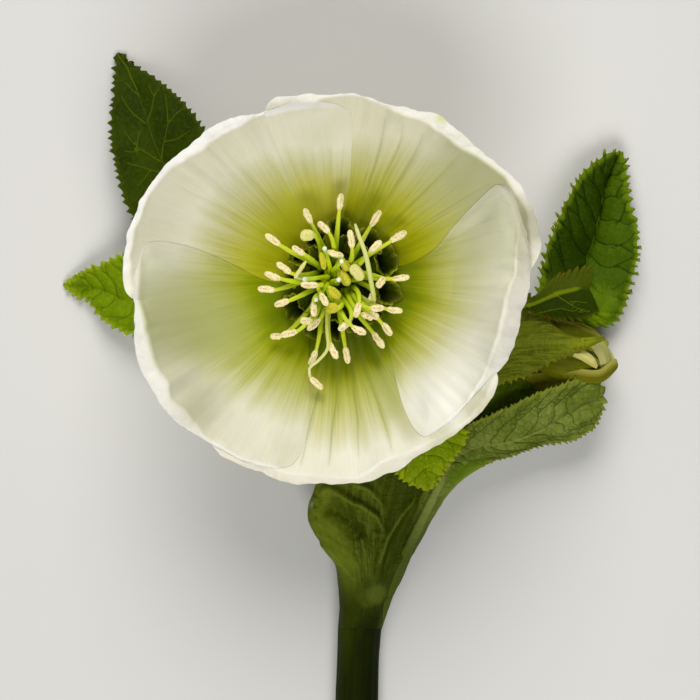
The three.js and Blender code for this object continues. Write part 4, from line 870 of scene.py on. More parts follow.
NECTARY_ANGLES = [21, 50, 86, 118, 150, 182, 215, 243, 268, 293, 320, 346]
NECTARY_SIZE = [1.34, 1.10, 1.08, 0.86, 0.78, 0.80, 1.10, 1.08, 0.90, 0.94, 0.88, 1.22]
NECTARY_DRAWN = [0.0, 0.3, 0.2, 1.0, 1.5, 1.4, 0.1, 0.1, 0.5, 0.5, 0.6, 0.0]
nectary_mat = nectary_material()
for i, deg in enumerate(NECTARY_ANGLES):
    rng = np.random.RandomState(100 + i)
    a = math.radians(deg)
    mid = at(FLOWER_U, 280, BASE_Z)
    out = np.array([math.cos(a), math.sin(a), 0.0])
    sidev = np.array([-math.sin(a), math.cos(a), 0.0])

    def p(r, z, sway=0.0):
        return mid + out * r + sidev * sway + np.array([0, 0, z])

    sway = rng.uniform(-0.25, 0.25)
    axis = np.array([p(4.5, 1.15), p(5.4, 1.45), p(6.5, 1.8, sway * 0.3), p(7.6, 2.3, sway * 0.7),
                     p(8.5 - 0.8 * NECTARY_DRAWN[i], 2.95, sway), p(9.0 - NECTARY_DRAWN[i], 3.75, sway)])
    ts = np.linspace(0, 1, 26)
    path = along(spline(axis, np.linspace(0, 1, 200)), ts)
    rad = table([(0, 0.34), (0.2, 0.6), (0.45, 0.98), (0.7, 1.2), (0.88, 1.4), (1.0, 1.62)], ts) * NECTARY_SIZE[i]
    tt, fa, fb = frames_of(path, (0, 0, 1))
    ns_ = 54
    th = 2 * np.pi * np.arange(ns_) / ns_
    # th 0 is the inner, upper lip; pi the outer, lower one; the sides are notched
    squash = 1 - 0.12 * np.cos(2 * th)
    lip = 0.62 * np.cos(th) ** 2 * np.where(np.cos(th) > 0, 0.55 + 0.2 * rng.rand(), 1.0) - 0.30 * np.sin(th) ** 2
    lip = lip + 0.22 * np.sin(3 * th + rng.rand() * 6) + 0.10 * np.sin(5 * th + rng.rand() * 6)
    lip = lip + 0.06 * np.sin(11 * th + rng.rand() * 6)
    curl = 0.30 + 0.42 * np.cos(th) ** 2 + 0.26 * np.sin(2 * th + rng.rand() * 6) + 0.05 * np.sin(9 * th + rng.rand() * 6)
    squash = squash * (1 + 0.13 * np.sin(2 * th + rng.rand() * 6) + 0.05 * np.sin(3 * th + rng.rand() * 6))
    pucker = 0.20 * np.sin(4 * th + rng.rand() * 6) + 0.15 * np.sin(7 * th + rng.rand() * 6) + 0.08 * np.sin(12 * th + rng.rand() * 6)

    def rings(scale_r, lo, hi, count, inner):
        rows, uvr = [], []
        for k in range(count):
            s_ = lo + (hi - lo) * k / (count - 1)
            c0 = np.array([np.interp(s_, ts, path[:, j]) for j in range(3)])
            tx = unit(np.array([np.interp(s_, ts, tt[:, j]) for j in range(3)]))
            ax = unit(np.array([np.interp(s_, ts, fa[:, j]) for j in range(3)]))
            bx = np.cross(tx, ax)
            r = np.interp(s_, ts, rad) * squash - (0.13 if inner else 0.0)
            e = smooth(0.72, 1.0, s_)
            r = r + curl * e ** 2 * 0.8 + pucker * (0.25 + 0.75 * e) * smooth(0.2, 0.5, s_)
            ext = lip * e - 0.16 * curl * e ** 3
            rows.append(c0 + ax * (r * np.cos(th))[:, None] + bx * (r * np.sin(th))[:, None] + tx * ext[:, None])
            uvr.append(np.stack([th / (2 * np.pi), np.full(ns_, 0.5 * s_ if not inner else 1 - 0.5 * s_)], -1))
        return rows, uvr

    ro, uo = rings(1, 0.0, 1.0, 26, False)
    ri, ui = rings(1, 1.0, 0.30, 20, True)
    verts = np.vstack(ro + ri + [path[0][None], ri[-1].mean(0)[None]])
    nr_ = len(ro) + len(ri)
    quads = grid_faces(nr_, ns_, closed=True)
    k0, k1 = nr_ * ns_, nr_ * ns_ + 1
    ii = np.arange(ns_)
    jj = (ii + 1) % ns_
    tris = np.vstack([np.stack([np.full(ns_, k0), jj, ii], -1),
                      np.stack([np.full(ns_, k1), (nr_ - 1) * ns_ + ii, (nr_ - 1) * ns_ + jj], -1)])
    uv = np.vstack(uo + ui + [[[0.5, 0.0]], [[0.5, 0.85]]])
    node = "nectary_%02d" % (i + 1)
    ob = add_mesh(node + "_cup", verts, quads, tris, {"nectary_uv": uv}, [nectary_mat])
    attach(ob, "root")
    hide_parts(node)


# ------------------------------------------------------------------ stamens
def filament_material(name, base, mid_, top):
    m = Mat(name, Roughness=0.45, Specular_IOR_Level=0.12, Subsurface_Weight=0.0, Subsurface_Scale=0.0002)
    m.bsdf.inputs["Subsurface Radius"].default_value = (0.8, 1.0, 0.2)
    th, t = m.uv("stamen_uv")
    n = m.noise(m.vec(m.mul(th, 9.0), m.mul(t, 2.5)), 1.0, 2.0)
    c = m.ramp(t, [(0.0, base), (0.45, mid_), (0.9, top)])
    c = m.mix(m.mul(n, 0.30), c, srgb(196, 214, 70))
    m.colour(c)
    m.bump(n, 0.00006, 0.4)
    return m.m


def anther_material(name, body, groove, grain):
    m = Mat(name, Roughness=0.85, Specular_IOR_Level=0.10, Subsurface_Weight=0.10, Subsurface_Scale=0.0005)
    m.bsdf.inputs["Subsurface Radius"].default_value = (1.0, 0.9, 0.5)
    th, t = m.uv("stamen_uv")
    # the two sides of the slit, seen from above and from below
    slit = m.math("ABSOLUTE", m.math("SUBTRACT", m.math("FRACT", m.mul(th, 2.0)), 0.5))
    pos = m.place()
    speck = m.noise(pos, 4200.0, 2.0, 0.6)
    blot = m.noise(pos, 1500.0, 2.0, 0.6)
    mask = m.mul(m.step(m.add(slit, m.mul(m.math("SUBTRACT", blot, 0.5), 0.75)), 0.0, 0.12, 1.0, 0.0),
                 m.mul(m.step(t, 0.04, 0.16), m.step(t, 0.86, 0.98, 1.0, 0.0)))
    c = m.mix(m.mul(mask, grain), body, groove)
    c = m.mix(m.mul(m.step(speck, 0.52, 0.40), 0.45 * grain), c, groove)
    c = m.mix(m.mul(m.step(speck, 0.52, 0.68), 0.5 * grain + 0.08), c, srgb(255, 248, 222))
    m.colour(c)
    m.bump(m.add(m.mul(speck, 0.9), m.add(m.mul(blot, 1.0), m.mul(mask, -0.2))), 0.00018, 0.9)
    return m.m


STAMENS = [
    ("o", 346.9, 275.6, 14.1, 352.3, 275.6, 17, 377.2, 279.4, 18.7, 392.2, 278.9, 19.4, 409.8, 276.8, 19.3),
    ("o", 352.6, 270.9, 14.1, 356.4, 270.9, 18.9, 374.3, 275.5, 20.2, 383.8, 277.5, 22.9, 376.8, 287.3, 24.1),
    ("o", 344.6, 270.9, 14.1, 350, 267, 17, 375.2, 250.8, 18.6, 390.1, 241.7, 19.3, 407, 231.9, 19.2),
    ("o", 352.0, 274.4, 14.1, 354.0, 271.0, 19.7, 359.7, 262.7, 22.9, 369.8, 252.3, 24.3, 381.7, 241, 24.2),
    ("o", 348.4, 264.6, 14.1, 351, 259.4, 17.9, 362.5, 239.7, 20, 370.5, 226.3, 21, 380.3, 210.2, 20.8),
    ("o", 348.7, 268.7, 14.1, 349.1, 265.3, 19.7, 353.2, 260.6, 22.9, 352.2, 248.1, 24.3, 349.4, 229.8, 24.2),
    ("y", 343.4, 263.6, 14.1, 343.4, 262.7, 17.6, 341.3, 257.4, 19.1, 343.8, 261.4, 20.4, 349.4, 271.2, 21.3),
    ("y", 340.4, 259.6, 14.1, 340.1, 260.3, 17.7, 334.8, 264.5, 19.8, 338.2, 271.2, 20.7, 350.1, 286.6, 20.6),
    ("o", 335.3, 258.5, 14.1, 335.7, 252, 17.9, 337.4, 226.8, 20.1, 339.3, 210.2, 21.1, 341.7, 193.3, 20.9),
    ("o", 334.8, 263.1, 14.1, 333.9, 258.6, 19.3, 336.8, 243.7, 22.2, 329.1, 232.6, 23.5, 317.9, 222.1, 23.3),
    ("o", 329.8, 263.5, 14.1, 329.3, 261.3, 18.4, 320.7, 251.4, 20.7, 327, 251.6, 21.8, 343.8, 256.5, 21.7),
    ("o", 329.2, 258.8, 14.1, 326.9, 253.9, 18.1, 317.8, 236.7, 20.4, 311.6, 223.5, 21.4, 304.5, 208.1, 21.2),
    ("d", 321.8, 261.9, 14.1, 320.6, 257.9, 18.6, 322.5, 238.2, 20.4, 313.7, 234.4, 22.2, 300.3, 235.1, 23.2),
    ("g", 325.1, 265.4, 14.1, 324.3, 262.9, 19.9, 322, 256.8, 21.5, 320.7, 253, 24.6, 324.2, 269.8, 24.5),
    ("o", 320.9, 268.9, 14.1, 318.7, 266.3, 19.6, 315, 261.4, 22.3, 304.5, 254.4, 24.1, 291.9, 246.6, 24.6),
    ("o", 317.8, 265.4, 14.1, 313, 262.2, 19.5, 294.2, 254.8, 22.5, 280, 245.2, 23.9, 265.3, 234, 23.7),
    ("o", 318.4, 273.1, 14.1, 314.8, 272.4, 18.7, 301.6, 278.4, 21.3, 290.5, 273.3, 22.5, 276.5, 262.8, 22.4),
    ("p", 317.2, 279.3, 14.1, 314.1, 278.4, 19.6, 301.6, 278.6, 21.1, 294.7, 278.2, 24, 305.9, 261.4, 23.9),
    ("o", 312.9, 283.1, 14.1, 308.7, 282, 19.3, 294.6, 283.1, 22.2, 280.7, 278.9, 23.6, 264.6, 272.6, 23.4),
    ("o", 312.9, 275.2, 14.1, 308.1, 276.3, 18.7, 290.4, 288.6, 21.3, 275.1, 290.1, 22.5, 257.5, 288.7, 22.4),
    ("o", 318.1, 284.9, 14.1, 317.7, 284.1, 20.8, 328.7, 285.6, 24.5, 317.9, 285.2, 26.2, 300.3, 284.5, 26),
    ("o", 314.8, 288.8, 14.1, 311.4, 289.6, 19.3, 302, 295.9, 22.2, 289.1, 300.7, 23.6, 274.4, 305.6, 23.4),
    ("o", 324.2, 289.8, 14.1, 319, 295, 16.7, 298.4, 328.2, 17.6, 282.1, 335.7, 18.8, 270.2, 336.4, 19.3),
    ("o", 325.2, 293.4, 14.1, 323.5, 293.8, 19.1, 314.4, 292.5, 21.6, 313, 302.1, 23.2, 313.7, 316.8, 23.7),
    ("o", 320.1, 288.6, 14.1, 319.8, 288.5, 20.3, 315.9, 284.9, 23, 320.7, 293.7, 25.3, 327.7, 305.6, 26.1),
    ("o", 329.2, 292.6, 14.1, 325.3, 296.9, 17.5, 311.3, 323.4, 19.4, 297.5, 331.5, 20.2, 280.7, 335.7, 20),
    ("o", 320.7, 292.9, 14.1, 319.3, 295.6, 18.8, 320.1, 316.1, 20.5, 311.6, 320.3, 22.6, 300.3, 320.3, 24),
    ("y", 332.3, 300.3, 14.1, 331.8, 298.3, 19.2, 324.4, 283.8, 22.1, 329.8, 288, 23.4, 341, 300, 23.2),
    ("o", 327, 299.3, 14.1, 326, 301.2, 17.8, 326.1, 311.5, 19.8, 320, 318.9, 20.8, 307.3, 330.1, 20.6),
    ("o", 323.2, 297.6, 14.1, 322.3, 303.5, 17.3, 321.3, 333.1, 19.2, 316.5, 349.8, 20, 309.5, 365.9, 19.8),
    ("o", 329.3, 297.5, 14.1, 329.2, 302.5, 18.1, 325.7, 327.4, 20.3, 329.8, 342.8, 21.4, 337.5, 358.9, 21.2),
    ("y", 337, 300, 14.1, 337, 300.3, 19.9, 347.4, 305.6, 23.1, 338.2, 307.7, 24.6, 323.5, 309.1, 24.5),
    ("o", 336.3, 295.4, 14.1, 337.3, 301.2, 17.2, 342.3, 329.9, 18.9, 345.2, 347, 19.7, 348, 363.8, 19.5),
    ("o", 333.1, 293.3, 14.1, 335.2, 296.6, 20.2, 338.9, 316.3, 23.7, 352.2, 326.6, 25.3, 366.3, 333.6, 25.1),
    ("o", 340.7, 296.5, 14.1, 341.8, 298.8, 19.4, 356.7, 310.9, 22.3, 350.8, 320.3, 23.7, 338.2, 330.1, 23.5),
    ("o", 338.3, 292.5, 14.1, 342.3, 296.9, 16.9, 362.2, 318.7, 18.5, 372.6, 332.2, 19.2, 383.8, 348.4, 19.1),
    ("o", 345.6, 290.3, 14.1, 347.4, 292.5, 19.3, 351.1, 307.1, 21.4, 361.4, 314, 23.5, 373.3, 318.9, 24.6),
    ("o", 353.1, 286.6, 14.1, 353.9, 287.8, 19.9, 361, 290.8, 23.2, 359.3, 302.8, 24.7, 355.1, 317.5, 24.6),
    ("o", 346.1, 296.1, 14.1, 348.9, 297.6, 18.9, 359.4, 307, 20.9, 370.5, 313.3, 22.8, 378.9, 317.5, 23.5),
    ("o", 348, 286.7, 14.1, 352, 290.7, 16.4, 371.5, 311, 17.7, 381.7, 323.1, 18.2, 391.5, 335.7, 18),
    ("o", 350.8, 291.2, 14.1, 353.1, 292.5, 20.5, 356.8, 306.3, 23.4, 370.5, 308.4, 25.8, 384.5, 307.7, 26.6),
    ("o", 341.9, 290.5, 14.1, 347.2, 292.4, 16.7, 371.5, 305.2, 18.3, 386.6, 309.1, 18.9, 402.8, 311.2, 18.8),
    ("o", 354.4, 280.5, 14.1, 356.7, 281.5, 17.1, 372.4, 285.4, 18.4, 373.3, 292.2, 19.6, 368.4, 304.9, 20.5),
    ("d", 349.7, 280.1, 14.1, 351.2, 279.4, 18.6, 358.3, 279.8, 19.8, 362.1, 279.6, 22.2, 350.8, 265.6, 22.1),
]
FREE_FILAMENT = [(352, 289, 14.1), (360, 296, 18.7), (371, 303, 22.7), (374, 300, 25.2), (372, 287, 26.4),
                 (366, 256, 26.8), (359, 236, 26.4), (355, 224, 25.8)]
LONG_STAMEN = [(329, 292, 14.1), (327, 305, 19.2), (327, 330, 21.8), (327.7, 348.4, 22.0), (317.9, 361, 21.4),
               (309.5, 368, 21.0), (310.2, 377.8, 20.8), (322.8, 389.1, 20.9)]
STAMEN_ROWS = 13
# kind: half width of the anther, share between its lobes, height, extra length, filament at the anther
KINDS = {"o": (0.49, 0.46, 0.95, 0.0, 0.30), "y": (0.78, 0.34, 0.95, -0.25, 0.40), "d": (0.86, 0.38, 0.9, 0.0, 0.38),
         "p": (0.36, 0.25, 0.9, 0.1, 0.26), "g": (0.50, 0.30, 0.9, 0.0, 0.28)}
stamen_mats = [
    filament_material("filament_green", srgb(162, 184, 6), srgb(192, 212, 12), srgb(210, 221, 54)),
    anther_material("anther_open", srgb(255, 240, 186), srgb(194, 150, 66), 0.55),
    anther_material("anther_yellow", srgb(204, 198, 36), srgb(164, 156, 14), 0.35),
    anther_material("anther_pale", srgb(236, 230, 146), srgb(200, 192, 84), 0.3),
    filament_material("filament_pale", srgb(150, 172, 40), srgb(200, 206, 104), srgb(224, 222, 156)),
]


def anther(bag, a, b, kind, rng, side=None):
    wide, lobes, high, extra, _ = KINDS[kind]
    d = b - a
    L = np.linalg.norm(d)
    t = d / L
    a, b = a - t * 0.10, b + t * extra
    L = np.linalg.norm(b - a)
    n = 28
    s = np.linspace(0, 1, n)
    bend = unit(np.cross(t, [0, 0, 1])) * rng.uniform(-0.10, 0.10)
    path = a + (b - a) * s[:, None] + bend * (4 * s * (1 - s))[:, None]
    # blunt ends, a little fuller at the far end
    prof = np.sqrt(np.clip(1 - np.abs(2 * s - 1) ** 3.2, 0, 1)) * (0.93 + 0.10 * s)
    prof[0], prof[-1] = 0.12, 0.10
    roll = rng.uniform(-0.6, 0.6)
    across = unit(np.cross(t, [0, 0, 1]))
    seed = rng.randint(0, 9999)

    def shape(th, ss):
        q = th - roll
        two = np.sqrt(1 + lobes * np.cos(2 * q)) * np.where(np.abs(np.sin(q)) > 0, 1, 1)
        flat = np.sqrt(np.cos(q) ** 2 + (high * np.sin(q)) ** 2)
        bumps = 1 + (0.16 if kind in "op" else 0.03) * noise2(th * 1.9 + 5, ss * 6, seed)
        bumps = bumps + (0.10 if kind == "o" else 0.015) * noise2(th * 4.6 + 9, ss * 15, seed + 3)
        return two * flat * bumps

    v, q, tr, uv = tube_mesh(path, wide * prof, 26, True, shape, start=across)
    uv[:, 0] = (uv[:, 0] - roll / (2 * np.pi)) % 1.0
    bag.add(v, q, tr, uv, {"o": 1, "y": 2, "d": 3, "p": 3, "g": 2}[kind])


stamens = []
for k, row in enumerate(STAMENS):
    kind, nums = row[0], row[1:]
    f, c1, c2, a, b = [at(*nums[j:j + 3]) for j in (0, 3, 6, 9, 12)]
    stamens.append(("plain", kind, k, f, c1, c2, a, b))
stamens.append(("free", "p", 90, at(*FREE_FILAMENT[0])))
stamens.append(("long", "o", 91, at(*LONG_STAMEN[0])))
middle_ = at(333.5, 279.5, BASE_Z)
order = sorted(range(len(stamens)), key=lambda k: math.atan2(stamens[k][3][1] - middle_[1], stamens[k][3][0] - middle_[0]))
for k in range(STAMEN_ROWS):
    lo = int(math.floor(len(order) * k / STAMEN_ROWS + 0.5))
    hi = int(math.floor(len(order) * (k + 1) / STAMEN_ROWS + 0.5))
    bag = Bag()
    for idx in order[lo:hi]:
        s = stamens[idx]
        rng = np.random.RandomState(500 + s[2])
        tt = np.linspace(0, 1, 26)[:, None]
        if s[0] == "plain":
            _, kind, _, f, c1, c2, a, b = s
            wide = KINDS[kind][4]
            end = a + (b - a) * 0.08
            path = (1 - tt) ** 3 * f + 3 * (1 - tt) ** 2 * tt * c1 + 3 * (1 - tt) * tt ** 2 * c2 + tt ** 3 * end
            rad = np.interp(tt[:, 0], [0, 0.15, 0.7, 1], [0.56, 0.47, 0.41, wide])
            fil = 4 if kind == "p" else 0
            anther(bag, a, b, kind, rng)
        elif s[0] == "free":
            path = along(spline([at(*q) for q in FREE_FILAMENT], np.linspace(0, 1, 300)), tt[:, 0])
            rad = np.interp(tt[:, 0], [0, 0.2, 0.75, 0.97, 1], [0.42, 0.40, 0.40, 0.34, 0.20])
            fil = 4
        else:
            path = along(spline([at(*q) for q in LONG_STAMEN[:7]], np.linspace(0, 1, 300)), tt[:, 0])
            rad = np.interp(tt[:, 0], [0, 0.2, 0.6, 1], [0.42, 0.36, 0.30, 0.26])
            fil = 4
            anther(bag, at(*LONG_STAMEN[6]), at(*LONG_STAMEN[7]), "o", rng)
        rad = rad * (1 + 0.06 * noise1(tt[:, 0] * 7, 40 + s[2]))
        bag.add(*tube_mesh(path, rad, 12), fil)
    node = "stamens_row_%02d" % (k + 1)
    ob = bag.make(node + "_fine", stamen_mats, "stamen_uv")
    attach(ob, "root")
    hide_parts(node)

# ------------------------------------------------------------------ carpels
def carpel_material():
    m = Mat("carpel_tissue", Roughness=0.42, Specular_IOR_Level=0.15, Subsurface_Weight=0.0, Subsurface_Scale=0.0002)
    m.bsdf.inputs["Subsurface Radius"].default_value = (0.8, 1.0, 0.3)
    th, t = m.uv("carpel_uv")
    n = m.noise(m.vec(m.mul(th, 14.0), m.mul(t, 5.0)), 1.0, 2.0)
    c = m.ramp(t, [(0.0, srgb(172, 192, 4)), (0.35, srgb(198, 216, 4)), (0.7, srgb(208, 226, 8)),
                   (0.93, srgb(184, 216, 84)), (0.965, srgb(240, 244, 220)), (1.0, srgb(250, 250, 240))])
    c = m.mix(m.mul(n, 0.2), c, srgb(212, 224, 40))
    m.colour(c)
    m.bump(n, 0.0001, 0.4)
    return m.m


carpel_mat = carpel_material()
STYLES = [(95, (329.8, 267, 20.4), (324.2, 247.3, 24.7)), (43, (333.6, 269.8, 20.4), (342.4, 260.7, 23.8)),
          (172, (327, 276.8, 20.2), (303.1, 279.6, 24.0)), (330, (332.4, 281.6, 20.4), (339.2, 279.6, 24.4)),
          (240, (327.2, 285, 20.2), (315.1, 300.7, 24.1))]
heart = at(331, 279, BASE_Z)
for i, (_, kink, tip) in enumerate(sorted(STYLES)):
    a = math.radians(43 + 72 * i)
    d = np.array([math.cos(a), math.sin(a), 0])
    foot = heart + d * 0.85
    up = np.array([0, 0, 1.0])
    top = heart + d * 0.8 + up * 4.6
    kk, tp = at(*kink), at(*tip)
    n = 44
    s = np.linspace(0, 1, n)
    pts = along(spline([foot + up * 0.9, foot + up * 2.2 + d * 0.12, foot + up * 3.8 + d * 0.1, top, top * 0.5 + kk * 0.5,
                        kk, kk * 0.42 + tp * 0.58, tp], np.linspace(0, 1, 400)), s)
    z = pts[:, 2] - BASE_Z
    L = np.r_[0, np.cumsum(np.linalg.norm(np.diff(pts, axis=0), axis=1))]
    rad = np.interp(L, [0, 0.6, 1.6, 3.0, 4.0, 5.0, L[-1] * 0.8, L[-1] - 0.55, L[-1] - 0.2, L[-1]],
                    [0.62, 0.78, 0.86, 0.78, 0.56, 0.42, 0.36, 0.34, 0.44, 0.22])

    def shape(th, ss, a=a):
        # a seam down the outer side and a keel towards the middle
        w = 1 - smooth(0.30, 0.5, ss)
        return 1 + w * (0.10 * np.cos(2 * th) - 0.10 * np.exp(-((np.abs((th % (2 * np.pi)) - np.pi)) / 0.22) ** 2))

    v, q, tr, uv = tube_mesh(pts, rad, 20, True, shape, start=tuple(-d))
    node = "carpel_%d" % (i + 1)
    ob = add_mesh(node + "_fine", v, q, tr, {"carpel_uv": uv}, [carpel_mat])
    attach(ob, "root")
    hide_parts(node)


# ------------------------------------------------------------------ leaves
def leaf_material(name, seed, dark, midc, light, vein, margin, tip, net=0.4, raised=False, gloss=0.40, streak=0.0,
                  rib=(0.10, 0.34), thread=(0.05, 0.22), rib_mix=0.8, thread_mix=0.75, halves=None, base=None, spots=()):
    m = Mat(name, Roughness=gloss, Specular_IOR_Level=0.045, Subsurface_Weight=0.05, Subsurface_Scale=0.0006)
    m.bsdf.inputs["Subsurface Radius"].default_value = (0.6, 1.0, 0.15)
    x, y = m.uv("leaf_mm")
    dv, dm = m.uv("leaf_vein")
    edge, tooth = m.uv("leaf_edge")
    p = m.vec(x, y, seed)
    wob = m.noise(p, 0.9, 2.0)
    pw = m.vec(m.add(x, m.mul(m.math("SUBTRACT", wob, 0.5), 1.1)), m.add(y, m.mul(m.math("SUBTRACT", wob, 0.5), 0.9)), seed)
    big = m.noise(p, 0.17, 3.0)
    small = m.noise(p, 1.6, 3.0, 0.6)
    grain = m.noise(p, 7.0, 2.0, 0.6)
    c1 = m.cells(pw, 0.62)
    c2 = m.cells(pw, 1.9)
    n1 = m.step(c1, 0.0, 0.085, 1.0, 0.0)
    n2 = m.step(c2, 0.0, 0.10, 1.0, 0.0)
    c = m.mix(m.step(big, 0.35, 0.65), dark, midc)
    c = m.mix(m.mul(m.step(small, 0.45, 0.75), 0.55), c, light)
    if streak:
        s = m.noise(m.vec(m.mul(x, 0.22), m.mul(y, 3.0), seed), 1.0, 2.0, 0.5, 0.5)
        c = m.mix(m.mul(m.step(s, 0.42, 0.62), streak), c, light)
        c = m.mix(m.mul(m.step(s, 0.60, 0.40), streak * 0.6), c, dark)
    c = m.mix(m.mul(n1, net), c, vein)
    c = m.mix(m.mul(n2, net * 0.45), c, vein)
    c = m.mix(m.mul(m.step(grain, 0.5, 0.75), 0.22), c, light)
    # two halves in two colours: on the creased right leaf and the small folded leaf, painted light on the half that
    # faces the lights and painted shade on the other; on the sheath, a lighter left lobe and a darker right one
    if halves:
        left_, right_, amount, wide = (*halves, 0.3)[:4]
        c = m.mix(m.mul(m.step(y, -wide, 0.0, 1.0, 0.0), amount), c, left_)
        c = m.mix(m.mul(m.step(y, 0.0, wide), amount), c, right_)
    near, _ = m.uv("leaf_near")
    v = m.mul(m.step(m.math("ABSOLUTE", dv), thread[0], thread[1], 1.0, 0.0), m.step(near, 0.45, 0.75, 1.0, 0.0))
    c = m.mix(m.mul(v, thread_mix), c, vein)
    r = m.step(dm, rib[0], rib[1], 1.0, 0.0)
    c = m.mix(m.mul(r, rib_mix), c, vein if raised else light)
    if base:
        shade_, b0, b1, share_ = base
        c = m.mix(m.mul(m.step(x, b0, b1, 1.0, 0.0), share_), c, shade_)
    if spots:
        sep = m.node("ShaderNodeSeparateXYZ")
        m.t.links.new(m.place(), sep.inputs[0])
        for u_, v_, z_, rad, amount, tone_ in spots:
            q = at(u_, v_, z_) * 0.001
            away = m.math("SQRT", m.add(m.math("POWER", m.math("SUBTRACT", sep.outputs[0], float(q[0])), 2.0),
                                        m.math("POWER", m.math("SUBTRACT", sep.outputs[1], float(q[1])), 2.0)))
            away = m.add(away, m.mul(m.math("SUBTRACT", small, 0.5), rad * 0.0008))
            c = m.mix(m.mul(m.step(away, rad * 0.0004, rad * 0.001, 1.0, 0.0), amount), c, tone_)
    e = m.step(edge, 0.10, 1.1, 1.0, 0.0)
    c = m.mix(m.mul(e, 0.62), c, margin)
    c = m.mix(m.step(tooth, 0.35, 0.95), c, tip)
    if base:
        c = m.mix(m.mul(m.mul(m.step(x, b0, b1, 1.0, 0.0), share_), m.step(edge, 0.2, 1.3, 1.0, 0.0)), c, shade_)
    m.colour(c)
    m.rough(m.add(gloss, m.mul(m.math("SUBTRACT", small, 0.5), 0.16)))
    sign = 1.0 if raised else -1.0
    h = m.add(m.add(m.mul(n1, 0.55 * sign), m.mul(n2, 0.28 * sign)), m.add(m.mul(grain, 0.25), m.mul(small, 0.35)))
    h = m.add(h, m.mul(v, 0.5 * sign))
    m.bump(h, 0.00011, 0.85)
    return m.m


